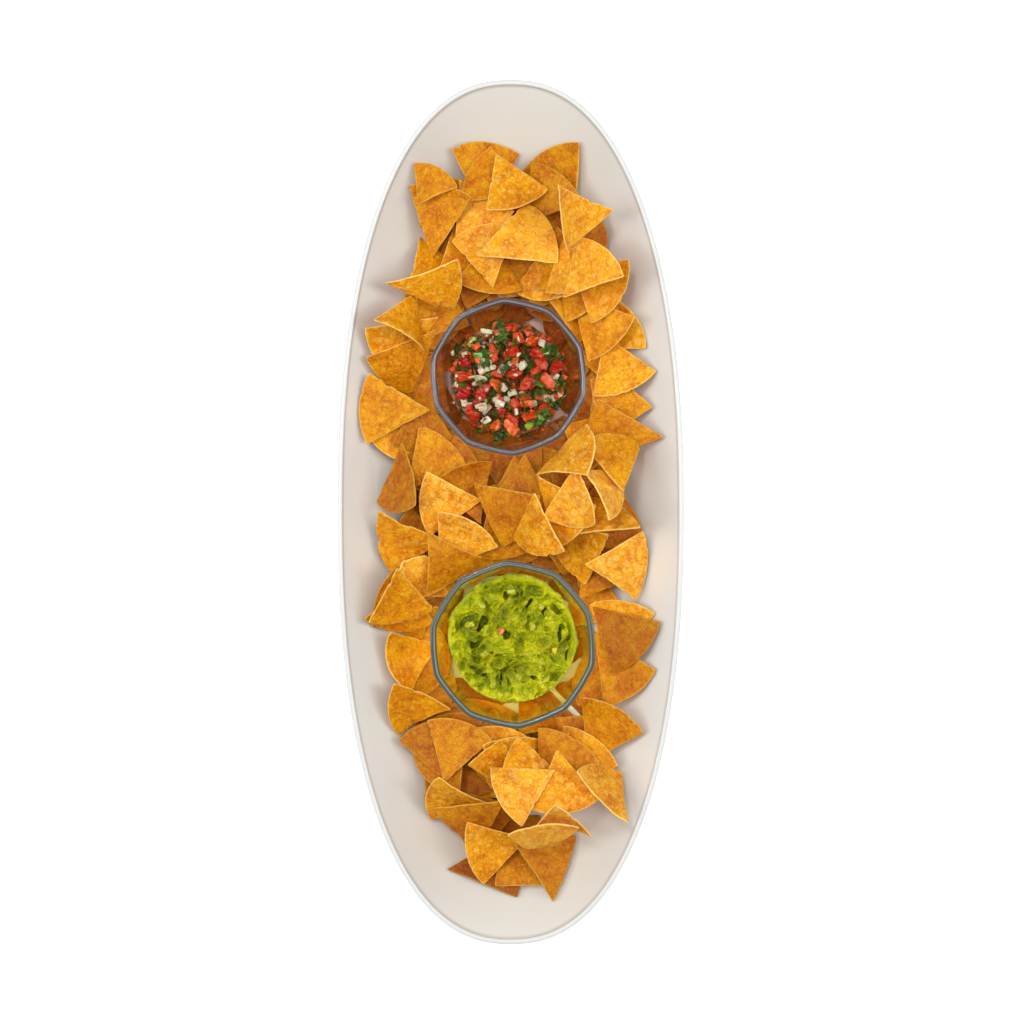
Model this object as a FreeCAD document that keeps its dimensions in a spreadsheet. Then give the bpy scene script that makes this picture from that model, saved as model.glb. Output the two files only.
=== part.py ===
import FreeCAD, Part
import math
import os
import random

from FreeCAD import Matrix, Placement, Rotation, Vector

# A chip and dip server for a table: a long oval glazed dish on a foot ring, two ten-sided glass
# bowls that stand on its floor and lift out, the dips in the bowls, and a heap of tortilla chips
# around them.
#
# Frame: millimetres, +Z up, +Y along the dish. The origin is at the centre of the foot, on the table.

DOC = FreeCAD.newDocument("chip_and_dip_server")

# ---------------------------------------------------------------------------------------------
# Driving dimensions
# ---------------------------------------------------------------------------------------------
SIZES = {
    # dish
    "dish_length": 610.0,
    "dish_width": 245.0,
    "dish_height": 60.0,
    "outline_power": 2.3,  # 2 is an ellipse, more is squarer
    "rise_power": 0.65,  # how fast the wall spreads as it rises
    "rim_wall": 4.4,
    "dish_floor": 6.5,
    "skirt_gap": 2.0,
    "floor_width": 120.0,
    "floor_length": 400.0,
    "foot_wall": 5.0,
    "foot_sink": 4.0,
    "rim_round": 1.0,
    # bowls
    "bowl_sides": 10,
    "bowl_turn": 22.0,
    "bowl_height": 46.0,
    "bowl_wall": 3.7,
    "bowl_base": 4.5,
    "rim_edge_round": 1.1,
    "salsa_radius": 57.0,
    "salsa_place_x": -1.5,
    "salsa_place_y": 95.5,
    "guac_radius": 60.5,
    "guac_place_x": 1.5,
    "guac_place_y": -93.5,
    # dips
    "dip_gap": 0.5,
    "salsa_level": 17.0,
    "salsa_crown": 4.0,
    "guac_level": 20.0,
    "guac_crown": 11.0,
    # chips
    "chip_thick": 1.5,
    "chip_gap": 0.35,
    "bowl_clear": 1.2,
}

SHEET = DOC.addObject("Spreadsheet::Sheet", "sizes")
for row, (alias, value) in enumerate(SIZES.items(), start=1):
    SHEET.set(f"A{row}", alias)
    SHEET.set(f"B{row}", str(value))
    SHEET.setAlias(f"B{row}", alias)
DOC.recompute()


def size(alias):
    """A driving dimension, read from the sheet."""
    return float(getattr(SHEET, alias))


def bind(thing, prop, formula):
    """Ties a property of a document object to cells of the sheet."""
    thing.setExpression(prop, formula)


def feature(name, shape, placement=None):
    """A document object that holds a shape made with Part's functions."""
    made = DOC.addObject("Part::Feature", name)
    made.Label = name
    made.Shape = shape
    if placement is not None:
        made.Placement = placement
    return made


SUBPARTS = []


def subpart(thing, label):
    """Names a finished piece, which then goes out as parts/LABEL.step."""
    thing.Label = label
    SUBPARTS.append(thing)
    return thing


# ---------------------------------------------------------------------------------------------
# Dish: an outer and an inner loft through oval sections, with a foot ring under it
# ---------------------------------------------------------------------------------------------
OUTLINE_POINTS = 48
WALL_SECTIONS = (0.0, 0.03, 0.1, 0.24, 0.45, 0.7, 1.0)  # shares of the wall's height


def oval(name, half_width, half_length, z):
    """A smooth closed superellipse at height z."""
    power = size("outline_power")
    points = []
    for i in range(OUTLINE_POINTS):
        turn = 2 * math.pi * i / OUTLINE_POINTS
        c, s = math.cos(turn), math.sin(turn)
        out = (abs(c) ** power + abs(s) ** power) ** (-1 / power)
        points.append(Vector(half_width * out * c, half_length * out * s, z))
    curve = Part.BSplineCurve()
    curve.interpolate(Points=points, PeriodicFlag=True)
    return feature(name, Part.Wire([curve.toShape()]))


def wall_loft(name, low, high, rim_inset, floor_inset):
    """The solid inside one face of the wall, between the heights low and high."""
    sections = []
    for i, share in enumerate(WALL_SECTIONS):
        spread = share ** size("rise_power")
        half = []
        for floor_size, rim_size in (("floor_width", "dish_width"), ("floor_length", "dish_length")):
            at_floor = size(floor_size) / 2 - floor_inset
            at_rim = size(rim_size) / 2 - rim_inset
            half.append(at_floor + (at_rim - at_floor) * spread)
        sections.append(oval(f"{name}_section_{i}", *half, low + (high - low) * share))
    loft = DOC.addObject("Part::Loft", name)
    loft.Sections = sections
    loft.Solid = True
    return loft


def cut(name, base, tool):
    made = DOC.addObject("Part::Cut", name)
    made.Base, made.Tool = base, tool
    return made


def build_dish():
    outer = wall_loft("dish_outer", size("skirt_gap"), size("dish_height"), 0.0, -6.0)
    inner = wall_loft("dish_inner", size("dish_floor"), size("dish_height"), size("rim_wall"), 0.0)
    foot_half = [size("floor_width") / 2, size("floor_length") / 2]
    ring = []
    for name, inset, top in (("foot_outer", 0.0, 0.0), ("foot_inner", size("foot_wall"), 0.5)):
        oval_at_foot = oval(f"{name}_outline", *(h - inset for h in foot_half), -top)
        block = DOC.addObject("Part::Extrusion", name)
        block.Base = oval_at_foot
        block.Dir = Vector(0, 0, 1)
        block.LengthFwd = size("foot_sink") + 2 * top
        block.Solid = True
        ring.append(block)
    foot = cut("foot_ring", *ring)
    body = DOC.addObject("Part::MultiFuse", "dish_body")
    body.Shapes = [outer, foot]
    hollow = cut("dish_hollow", body, inner)
    DOC.recompute()
    rim = DOC.addObject("Part::Fillet", "dish_rim")
    rim.Base = hollow
    top_edges = [
        i
        for i, edge in enumerate(hollow.Shape.Edges, start=1)
        if edge.BoundBox.ZMin > size("dish_height") - 0.01
    ]
    rim.Edges = [(i, size("rim_round"), size("rim_round")) for i in top_edges]
    DOC.recompute()
    return subpart(rim, "serving_dish")


# ---------------------------------------------------------------------------------------------
# Glass bowls: ten flat sides outside and inside, lofted through regular polygons
# ---------------------------------------------------------------------------------------------
# The wall's profile, as (share of the height, share of the rim's radius).
BOWL_PROFILE = ((0.0, 0.53), (0.06, 0.575), (0.22, 0.755), (0.52, 0.9), (1.0, 1.0))


def bowl_radius(share, rim):
    """The outer corner radius of a bowl at a share of its height."""
    for (s0, r0), (s1, r1) in zip(BOWL_PROFILE, BOWL_PROFILE[1:]):
        if share <= s1:
            return rim * (r0 + (r1 - r0) * (share - s0) / (s1 - s0))
    return rim


def polygon(name, radius_formula, z_formula):
    made = DOC.addObject("Part::RegularPolygon", name)
    bind(made, "Polygon", "sizes.bowl_sides")
    bind(made, "Circumradius", radius_formula)
    made.Placement = Placement(Vector(0, 0, 0), Rotation(Vector(0, 0, 1), size("bowl_turn")))
    bind(made, "Placement.Base.z", z_formula)
    return made


def build_bowl(label, radius):
    """A bowl whose rim corners are at the sheet's radius, standing on z = 0 about the Z axis."""
    solids = []
    inside_shares = [s for s, _ in BOWL_PROFILE if s > 0.1]
    for side, shares in (("outside", [s for s, _ in BOWL_PROFILE]), ("inside", inside_shares)):
        sections = []
        if side == "inside":
            floor_radius = f"sizes.{radius} * {BOWL_PROFILE[1][1]} - sizes.bowl_wall"
            sections.append(polygon(f"{label}_inside_floor", floor_radius, "sizes.bowl_base"))
        for share in shares:
            corner = dict(BOWL_PROFILE)[share]
            wall = "" if side == "outside" else " - sizes.bowl_wall"
            formula = f"sizes.{radius} * {corner}{wall}"
            name = f"{label}_{side}_{round(share * 100)}"
            sections.append(polygon(name, formula, f"sizes.bowl_height * {share}"))
        loft = DOC.addObject("Part::Loft", f"{label}_{side}")
        loft.Sections = sections
        loft.Solid = True
        loft.Ruled = True
        solids.append(loft)
    shell = cut(f"{label}_shell", *solids)
    DOC.recompute()
    rounded = DOC.addObject("Part::Fillet", f"{label}_rounded")
    rounded.Base = shell
    edges = []
    for i, edge in enumerate(shell.Shape.Edges, start=1):
        if edge.BoundBox.ZMin > size("bowl_height") - 0.01:
            edges.append((i, size("rim_edge_round"), size("rim_edge_round")))
    rounded.Edges = edges
    DOC.recompute()
    return rounded


# ---------------------------------------------------------------------------------------------
# Height field: the top of whatever has been put down so far, which the next piece rests on
# ---------------------------------------------------------------------------------------------
class HeightField:
    def __init__(self, centre, half_x, half_y, cell, ground):
        self.cx, self.cy, self.cell = centre[0], centre[1], cell
        self.nx, self.ny = int(2 * half_x / cell) + 1, int(2 * half_y / cell) + 1
        self.x0, self.y0 = self.cx - half_x, self.cy - half_y
        self.z = [
            [ground(self.x0 + (i + 0.5) * cell, self.y0 + (j + 0.5) * cell) for j in range(self.ny)]
            for i in range(self.nx)
        ]

    def rest(self, points, turn, x, y):
        """The lowest height at which points, turned by the matrix rows turn, clear the field."""
        (a, b, c), (d, e, f), (g, h, k) = turn
        inv, x, y = 1.0 / self.cell, x - self.x0, y - self.y0
        z, nx, ny, high = self.z, self.nx, self.ny, -1e9
        for px, py, pz in points:
            i = int((a * px + b * py + c * pz + x) * inv)
            j = int((d * px + e * py + f * pz + y) * inv)
            if not (0 <= i < nx and 0 <= j < ny):
                return 1e9
            up = z[i][j] - (g * px + h * py + k * pz)
            if up > high:
                high = up
        return high

    def raise_to(self, points, turn, x, y, up, gap):
        """Lifts the field to the top of a piece that has been put down."""
        (a, b, c), (d, e, f), (g, h, k) = turn
        for px, py, pz in points:
            i = int((a * px + b * py + c * pz + x - self.x0) / self.cell)
            j = int((d * px + e * py + f * pz + y - self.y0) / self.cell)
            top = g * px + h * py + k * pz + up + gap
            for ii, jj in ((i, j), (i + 1, j), (i - 1, j), (i, j + 1), (i, j - 1)):
                if 0 <= ii < self.nx and 0 <= jj < self.ny and self.z[ii][jj] < top:
                    self.z[ii][jj] = top


    def bare(self, x, y, ground):
        """Whether nothing has been put down at a spot."""
        i, j = int((x - self.x0) / self.cell), int((y - self.y0) / self.cell)
        middle = (self.x0 + (i + 0.5) * self.cell, self.y0 + (j + 0.5) * self.cell)
        return self.z[i][j] < ground(*middle) + 0.3


def rows_of(rotation):
    m = Matrix(Placement(Vector(0, 0, 0), rotation).toMatrix())
    return ((m.A11, m.A12, m.A13), (m.A21, m.A22, m.A23), (m.A31, m.A32, m.A33))


def leaning(azimuth, lean):
    """A tilt that lowers the side towards azimuth."""
    a = math.radians(azimuth)
    return Rotation(Vector(-math.sin(a), math.cos(a), 0), lean)


class Laid:
    """A piece where it came to rest."""

    def __init__(self, kind, x, y, rotation, z):
        self.kind, self.x, self.y, self.rotation, self.z = kind, x, y, rotation, z
        self.rows = rows_of(rotation)

    def placement(self):
        return Placement(Vector(self.x, self.y, self.z), self.rotation)

    def points(self):
        for px, py, pz in self.kind.low + self.kind.high:
            yield tuple(
                r[0] * px + r[1] * py + r[2] * pz + at
                for r, at in zip(self.rows, (self.x, self.y, self.z))
            )


SEARCH_STEPS = (1.0, 0.5, 0.25, 0.12)
TILT_STEP = 14.0
SHIFT_STEP = 4.0
TURN_STEP = 10.0
MAX_LEAN = 60.0
MAX_WEDGE = 16.0


def settle(field, kind, x, y, turn, flipped=False, lean=None, slide=0.0):
    """Puts a piece down near x, y and lets it tip and slide until its centre is as low as it goes.

    It slides no further than slide. With a lean, (azimuth, angle), it stays near that tilt, as a
    piece wedged between others does.
    """
    below = kind.coarse_high if flipped else kind.coarse_low
    kept, max_tilt = (leaning(*lean), MAX_WEDGE) if lean else (None, MAX_LEAN)

    def turned(state):
        tilt_x, tilt_y, _, _, twist = state
        upright = Rotation(Vector(0, 0, 1), turn + twist)
        if flipped:
            upright = upright.multiply(Rotation(Vector(1, 0, 0), 180))
        angle = math.hypot(tilt_x, tilt_y)
        tilt = Rotation(Vector(tilt_x, tilt_y, 0), angle) if angle > 1e-6 else Rotation()
        if kept:
            tilt = tilt.multiply(kept)
        return tilt.multiply(upright)

    def height(state):
        return field.rest(below, rows_of(turned(state)), x + state[2], y + state[3])

    best = (0.0,) * 5
    up = height(best)
    for share in SEARCH_STEPS:
        moves = [(0, TILT_STEP * share), (1, TILT_STEP * share)]
        if slide:
            moves += [(2, SHIFT_STEP * share), (3, SHIFT_STEP * share), (4, TURN_STEP * share)]
        improved = True
        while improved:
            improved = False
            for which, step in moves:
                for change in (step, -step):
                    state = list(best)
                    state[which] += change
                    too_far = math.hypot(state[2], state[3]) > slide or abs(state[4]) > 2.5 * slide
                    if math.hypot(state[0], state[1]) > max_tilt or too_far:
                        continue
                    tried = height(state)
                    if tried < up - 1e-3:
                        best, up, improved = tuple(state), tried, True
    rotation = turned(best)
    x, y = x + best[2], y + best[3]
    up = field.rest(kind.low + kind.high, rows_of(rotation), x, y)
    return Laid(kind, x, y, rotation, up)


# ---------------------------------------------------------------------------------------------
# Tortilla chips: a slice of a round tortilla, bent as part of a cylinder
# ---------------------------------------------------------------------------------------------
class ChipKind:
    """One shape of chip. Its centre is at the origin and its arc faces +X.

    side: length of a straight side. spread: angle at the point. bend: radius of the bend.
    crease: direction of the bend's axis, from +X. tip: length broken off the point.
    """

    SPACING = 1.6

    def __init__(self, side, spread, bend, crease, tip=0.0):
        self.side, self.spread, self.bend, self.crease, self.tip = side, spread, bend, crease, tip
        half = math.radians(spread / 2)
        area, first = half * side**2, 2 / 3 * side**3 * math.sin(half)
        self.shift = first / area
        thick = size("chip_thick") / 2
        self.low, self.high = [], []
        steps = int(side / self.SPACING)
        for i in range(steps + 1):
            r = tip + (side - tip) * i / steps
            across = max(1, int(2 * half * r / self.SPACING))
            for j in range(across + 1):
                angle = -half + 2 * half * j / across
                x, y = r * math.cos(angle) - self.shift, r * math.sin(angle)
                s = self.off_crease(x, y)
                self.low.append((x, y, math.sqrt((bend - thick) ** 2 - s * s) - bend))
                self.high.append((x, y, math.sqrt((bend + thick) ** 2 - s * s) - bend))
        self.coarse_low, self.coarse_high = self.low[::3], self.high[::3]

    def off_crease(self, x, y):
        a = math.radians(self.crease)
        return y * math.cos(a) - x * math.sin(a)

    def shape(self):
        half = math.radians(self.spread / 2)

        def corner(r, angle):
            return Vector(r * math.cos(angle) - self.shift, r * math.sin(angle), 0)

        c1, c2 = corner(self.side, -half), corner(self.side, half)
        edges = [Part.Arc(c1, corner(self.side, 0), c2).toShape()]
        if self.tip:
            t1, t2 = corner(self.tip, -half), corner(self.tip, half)
            inner = [Part.makeLine(t2, t1)]
            edges += [Part.makeLine(c2, t2)] + inner + [Part.makeLine(t1, c1)]
        else:
            point = corner(0, 0)
            edges += [Part.makeLine(c2, point), Part.makeLine(point, c1)]
        outline = Part.Face(Part.Wire(edges))
        thick = size("chip_thick")
        depth = min(self.bend, 40.0)
        prism = outline.extrude(Vector(0, 0, depth + thick))
        prism.translate(Vector(0, 0, -depth))
        a = math.radians(self.crease)
        along = Vector(math.cos(a), math.sin(a), 0)
        start = along * -self.side - Vector(0, 0, self.bend)
        outer = Part.makeCylinder(self.bend + thick / 2, 2 * self.side, start, along)
        inner = Part.makeCylinder(self.bend - thick / 2, 2 * self.side, start, along)
        return prism.common(outer).cut(inner)


KINDS = {
    "plain": ChipKind(46, 64, 150, 20),
    "arched": ChipKind(46, 62, 62, 0),
    "rolled": ChipKind(45, 63, 50, 90),
    "curled": ChipKind(45, 62, 30, 12),
    "folded": ChipKind(47, 58, 31, -15),
    "large": ChipKind(51, 60, 95, 60),
    "long": ChipKind(54, 52, 110, -30),
    "square": ChipKind(41, 80, 80, 45),
    "stub": ChipKind(46, 68, 70, 90, tip=16),
    "small": ChipKind(31, 74, 45, 30),
    "wide": ChipKind(57, 56, 44, -25),
}


def dish_ground(x, y):
    """The height of the dish's inner face over a point."""
    low, high = size("dish_floor"), size("dish_height")
    inset, power = size("rim_wall"), size("outline_power")
    rim = (size("dish_width") / 2 - inset, size("dish_length") / 2 - inset)
    base = (size("floor_width") / 2, size("floor_length") / 2)

    def outside(spread):
        halves = [b + (r - b) * spread for b, r in zip(base, rim)]
        return (abs(x) / halves[0]) ** power + (abs(y) / halves[1]) ** power > 1

    if not outside(0.0):
        return low
    if outside(1.0):
        return high + 4 * max(abs(x) - rim[0] * 0.5, abs(y) - rim[1] * 0.5)
    inner, outer = 0.0, 1.0
    for _ in range(12):
        middle = (inner + outer) / 2
        inner, outer = (middle, outer) if outside(middle) else (inner, middle)
    share = outer ** (1 / size("rise_power"))
    return low + (high - low) * share + 0.6


BOWLS = (
    (size("salsa_place_x"), size("salsa_place_y"), size("salsa_radius")),
    (size("guac_place_x"), size("guac_place_y"), size("guac_radius")),
)


def bowl_overlap(laid):
    """How far a piece reaches into the space that a bowl fills or lifts out through."""
    deepest, away = 0.0, None
    for x, y, z in laid.points():
        for bx, by, rim in BOWLS:
            near = math.hypot(x - bx, y - by)
            if near > rim + 2:
                continue
            share = (z - size("dish_floor")) / size("bowl_height")
            reach = bowl_radius(min(max(share + 0.03, 0.0), 1.0), rim) + size("bowl_clear") - near
            if reach > deepest:
                deepest, away = reach, (laid.x - bx, laid.y - by)
    return deepest, away


def lay_chip(field, kind_name, x, y, turn, cup, lean=None, slide=5.0):
    """A chip's resting place, away from the bowls. None if it finds none."""
    kind = KINDS[kind_name]
    for _ in range(9):
        laid = settle(field, kind, x, y, turn, cup, lean, slide)
        deepest, away = bowl_overlap(laid)
        if deepest <= 0:
            break
        far = math.hypot(*away) or 1.0
        push = max(deepest, 1.5)
        x, y = x + away[0] / far * push, y + away[1] / far * push
    else:
        return None
    return laid


def keep_chip(field, laid):
    """Makes a chip part of what the next ones rest on."""
    points = laid.kind.low + laid.kind.high
    field.raise_to(points, laid.rows, laid.x, laid.y, laid.z, size("chip_gap"))


# The chips that show, lower ones first: x, y, direction that the arc faces, kind, cupped side up,
# and for a chip wedged at a slant its lean as (azimuth of the low side, angle).
SHOWN_CHIPS = {
    "salsa_sides": (
        (75, 74, -70, "plain", False),
        (66, 80, 60, "plain", True),
        (76, 134, 40, "square", True),
        (80, 100, -75, "plain", False),
        (61, 128, -50, "long", False, (200, 34)),
        (43, 150, -52, "long", False, (205, 40)),
        (-78, 120, 212, "long", False),
        (-72, 106, 222, "long", False),
        (-57, 126, 262, "curled", False, (20, 58)),
        (-78, 53, -115, "square", False),
        (-64, 60, -82, "rolled", False),
        (-66, 80, 172, "large", False),
    ),
    "north": (
        (-56, 172, -63, "plain", False),
        (-50, 224, -45, "square", False),
        (35, 244, 109, "large", True),
        (-20, 247, 95, "large", True),
        (-36, 178, -85, "plain", True),
        (24, 160, -95, "square", False),
        (-16, 164, -95, "plain", False),
        (-24, 208, -62, "plain", False),
        (54, 194, 10, "plain", False),
        (67, 160, -30, "square", True),
        (35, 176, -90, "arched", False, (180, 40)),
        (45, 168, -90, "plain", False, (180, 36)),
        (57, 168, 45, "plain", False, (135, 34)),
        (-20, 184, 100, "arched", False),
        (27, 226, 48, "arched", False),
        (44, 202, -62, "curled", True, (0, 40)),
        (-17, 233, 150, "plain", True),
        (-50, 214, 80, "long", True),
        (-56, 230, 60, "small", False),
        (12, 191, 24, "wide", False),
        (3, 227, -68, "plain", False),
        (-55, 155, 4, "long", False, (270, 38)),
    ),
    "middle": (
        (2, 22, -90, "plain", False),
        (-36, 38, 30, "plain", False),
        (76, 56, 178, "long", False),
        (-56, 36, 55, "plain", True),
        (9, 18, -100, "plain", False),
        (-4, -24, -80, "large", False),
        (-28, 20, 112, "rolled", True),
        (-46, 6, 178, "plain", False),
        (52, -48, 60, "plain", False),
        (76, -13, 25, "plain", False),
        (50, -24, 205, "large", True),
        (67, -6, 48, "plain", False),
        (39, 0, -58, "long", False, (215, 40)),
        (47, 3, -90, "curled", True, (180, 40)),
        (-2, 3, -38, "large", False),
        (66, 14, -30, "square", False),
        (19, -14, -92, "arched", False, (190, 48)),
        (-35, -16, 60, "stub", True),
        (80, -40, -8, "large", False),
        (73, 40, 100, "plain", False),
        (44, 38, 10, "large", False),
        (-76, 19, -97, "large", True),
        (-77, -20, 180, "large", False),
    ),
    "guacamole_sides": (
        (-77, -62, 150, "plain", False),
        (78, -76, 84, "plain", False),
        (-66, -47, -80, "stub", False),
        (-42, -40, -65, "rolled", False),
        (-79, -70, -98, "square", False),
        (-64, -68, -88, "plain", True),
        (80, -116, -60, "long", True),
        (72, -90, -42, "large", False),
        (62, -146, 62, "large", True),
        (-70, -104, 195, "curled", True),
        (-66, -133, 190, "rolled", True),
    ),
    "south": (
        (-12, -162, 80, "plain", False),
        (52, -172, 60, "plain", False),
        (-48, -182, -122, "plain", False),
        (-55, -162, 98, "square", True),
        (-33, -158, 76, "plain", True),
        (3, -164, 92, "long", False),
        (29, -162, 64, "large", False),
        (-14, -174, 5, "small", True),
        (8, -180, 170, "rolled", False, (90, 38)),
        (-40, -203, 165, "large", False),
        (-30, -216, 215, "long", False),
        (35, -191, -82, "plain", False, (100, 30)),
        (6, -195, 205, "arched", False, (95, 28)),
        (-12, -254, 10, "long", False),
        (8, -253, 150, "plain", False),
        (-14, -236, 195, "plain", False),
        (28, -245, 102, "large", False),
        (64, -194, 94, "large", True),
        (31, -212, -75, "curled", True),
        (20, -224, 92, "stub", False),
    ),
}

SHOWN_SLIDE = 3.0
BED_SEED = 4
BED_CHIPS = 72
BED_TRIES = 4
BED_HALF = (80.0, 244.0)
BED_KINDS = ("plain", "arched", "rolled", "plain", "square", "large")
BED_SLIDE = 8.0
BOWL_BERTH = 8.0  # the bed stays this far outside a bowl's rim
SKIRT_KINDS = ("small", "square", "plain", "small", "stub", "plain", "small")
SKIRT_CHIPS = 17  # tucked under the flare of each bowl
SKIRT_OUT = (0.84, 1.0, 1.2)  # their distance from the bowl's axis, as shares of its rim radius


def lay_skirts(field, chance):
    """Chips that lie against the foot of each bowl, under its flare."""
    skirts = []
    for bx, by, rim in BOWLS:
        for number in range(SKIRT_CHIPS):
            around = 2 * math.pi * (number * 7 % SKIRT_CHIPS) / SKIRT_CHIPS
            out = rim * SKIRT_OUT[number * len(SKIRT_OUT) // SKIRT_CHIPS]
            x, y = bx + out * math.cos(around), by + out * math.sin(around)
            kind = SKIRT_KINDS[number % len(SKIRT_KINDS)]
            turn = math.degrees(around) + 180 + chance.uniform(-50, 50)
            laid = lay_chip(field, kind, x, y, turn, chance.random() < 0.3)
            if laid:
                keep_chip(field, laid)
                skirts.append(laid)
    return skirts


GAP_SPOTS = 28  # places looked at around each bowl, at each of these shares of its rim radius
GAP_OUT = (0.72, 0.86, 1.0, 1.12, 1.24)
GAP_KINDS = ("small", "square", "plain")


def covers(laid, x, y):
    return min(math.hypot(px - x, py - y) for px, py, _ in laid.points()) < 2


def fill_gap(field, x, y, chance):
    """A chip over one bare spot of the dish, or None if no chip reaches it."""
    for kind in GAP_KINDS:
        for _ in range(4):
            laid = lay_chip(field, kind, x, y, chance.uniform(0, 360), False)
            if laid and covers(laid, x, y):
                keep_chip(field, laid)
                return laid
    return None


def fill_gaps(field, chance):
    """Chips over the spots beside the bowls where the floor of the dish is still bare."""
    added = []
    for bx, by, rim in BOWLS:
        for number in range(GAP_SPOTS * len(GAP_OUT)):
            around = 2 * math.pi * number / GAP_SPOTS
            out = rim * GAP_OUT[number // GAP_SPOTS]
            x, y = bx + out * math.cos(around), by + out * math.sin(around)
            laid = fill_gap(field, x, y, chance) if field.bare(x, y, dish_ground) else None
            if laid:
                added.append(laid)
    return added


def lay_bed(field, chance):
    """Chips at random under the ones that show, each in the lowest of a few spots."""
    bed = []
    while len(bed) < BED_CHIPS:
        tried = []
        while len(tried) < BED_TRIES:
            reach, around = math.sqrt(chance.random()), chance.uniform(0, 2 * math.pi)
            x, y = reach * math.cos(around) * BED_HALF[0], reach * math.sin(around) * BED_HALF[1]
            kind, cup = chance.choice(BED_KINDS), chance.random() < 0.5
            turn = chance.uniform(0, 360)
            if any(math.hypot(x - bx, y - by) < rim + BOWL_BERTH for bx, by, rim in BOWLS):
                continue
            laid = lay_chip(field, kind, x, y, turn, cup, slide=BED_SLIDE)
            if laid:
                tried.append(laid)
        lowest = min(tried, key=lambda laid: laid.z)
        keep_chip(field, lowest)
        bed.append(lowest)
    return bed


def lay_heap():
    """Every chip in the dish: the bed first, then the chips that show."""
    half_x, half_y = size("dish_width") / 2, size("dish_length") / 2
    field = HeightField((0.0, 0.0), half_x, half_y, 1.5, dish_ground)
    chance = random.Random(BED_SEED)
    bed = lay_skirts(field, chance) + lay_bed(field, chance)
    bed += fill_gaps(field, chance)
    print("chips in the bed", len(bed))
    shown = []
    for zone, chips in SHOWN_CHIPS.items():
        for chip in chips:
            x, y, turn, kind, cup = chip[:5]
            lean = chip[5] if len(chip) > 5 else None
            laid = lay_chip(field, kind, x, y, turn, cup, lean, SHOWN_SLIDE)
            if laid:
                keep_chip(field, laid)
                shown.append((zone, laid))
            else:
                print("no room for the chip at", x, y)
    return bed, shown


# ---------------------------------------------------------------------------------------------
# Dips
# ---------------------------------------------------------------------------------------------
def inside_radius(z, rim):
    """Radius of the largest circle inside a bowl at height z above the bowl's foot."""
    corner = bowl_radius(z / size("bowl_height"), rim) - size("bowl_wall")
    return corner * math.cos(math.pi / size("bowl_sides")) - size("dip_gap")


# A dip's top, from its edge inwards, as (share of its radius, share of its crown).
DOME = ((0.9, 0.28), (0.72, 0.6), (0.45, 0.88), (0.2, 0.98))


def build_dip(label, rim, level, crown):
    """The solid that a dip fills: the bowl's inside up to level, with a low dome on it."""
    low = size("bowl_base") + 0.2
    floor_radius = inside_radius(size("bowl_height") * 0.06, rim) - 1.5
    side = [Vector(floor_radius, 0, low)]
    for share in (0.22, 0.34):
        z = share * size("bowl_height")
        if z < level - 2:
            side.append(Vector(inside_radius(z, rim) - 0.8, 0, z))
    edge = Vector(inside_radius(level, rim) - 0.8, 0, level)
    side.append(edge)
    for out, rise in DOME:
        side.append(Vector(edge.x * out, 0, level + crown * rise))
    axis_low, axis_high = Vector(0, 0, low), Vector(0, 0, level + crown)
    corners = [axis_low, *side, axis_high, axis_low]
    edges = [Part.makeLine(a, b) for a, b in zip(corners, corners[1:])]
    profile = feature(f"{label}_profile", Part.Wire(edges))
    turned = DOC.addObject("Part::Revolution", f"{label}_turned")
    turned.Source = profile
    turned.Axis = Vector(0, 0, 1)
    turned.Angle = 360
    turned.Solid = True
    return turned


def move_to(thing, x_alias, y_alias):
    """Places a bowl or a dip on the dish's floor, at its own spot."""
    thing.Placement = Placement(Vector(0, 0, 0), Rotation())
    bind(thing, "Placement.Base.x", f"sizes.{x_alias}")
    bind(thing, "Placement.Base.y", f"sizes.{y_alias}")
    bind(thing, "Placement.Base.z", "sizes.dish_floor")


class BlockKind:
    """A cut piece of vegetable: a block centred on the origin."""

    def __init__(self, length, width, height, spacing=0.7):
        self.sides = (length, width, height)
        self.low, self.high = [], []
        nx, ny = max(2, int(length / spacing)), max(2, int(width / spacing))
        for i in range(nx + 1):
            for j in range(ny + 1):
                x, y = length * (i / nx - 0.5), width * (j / ny - 0.5)
                self.low.append((x, y, -height / 2))
                self.high.append((x, y, height / 2))
        self.coarse_low, self.coarse_high = self.low, self.high

    def shape(self):
        length, width, height = self.sides
        return Part.makeBox(length, width, height, Vector(-length / 2, -width / 2, -height / 2))


# Vegetables cut into the salsa: how many of each, and their blocks.
SALSA_CUTS = {
    "tomato_dice": (44, [(7.5, 6.5, 6.0), (9.0, 7.0, 5.0), (6.5, 6.0, 5.5), (11.0, 6.0, 4.5)]),
    "onion_dice": (34, [(5.5, 4.5, 3.5), (4.5, 4.5, 4.0), (7.5, 3.5, 2.5), (5.0, 4.0, 3.0)]),
    "cilantro_leaves": (26, [(9.0, 8.0, 0.9), (12.0, 7.0, 0.9), (7.0, 6.0, 0.9)]),
    "jalapeno_slices": (8, [(13.0, 4.0, 2.0), (9.5, 8.0, 2.2), (8.0, 5.0, 2.4)]),
}
SALSA_SEED = 21
CUT_GAP = 0.5
DROP_TRIES = 9


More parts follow.
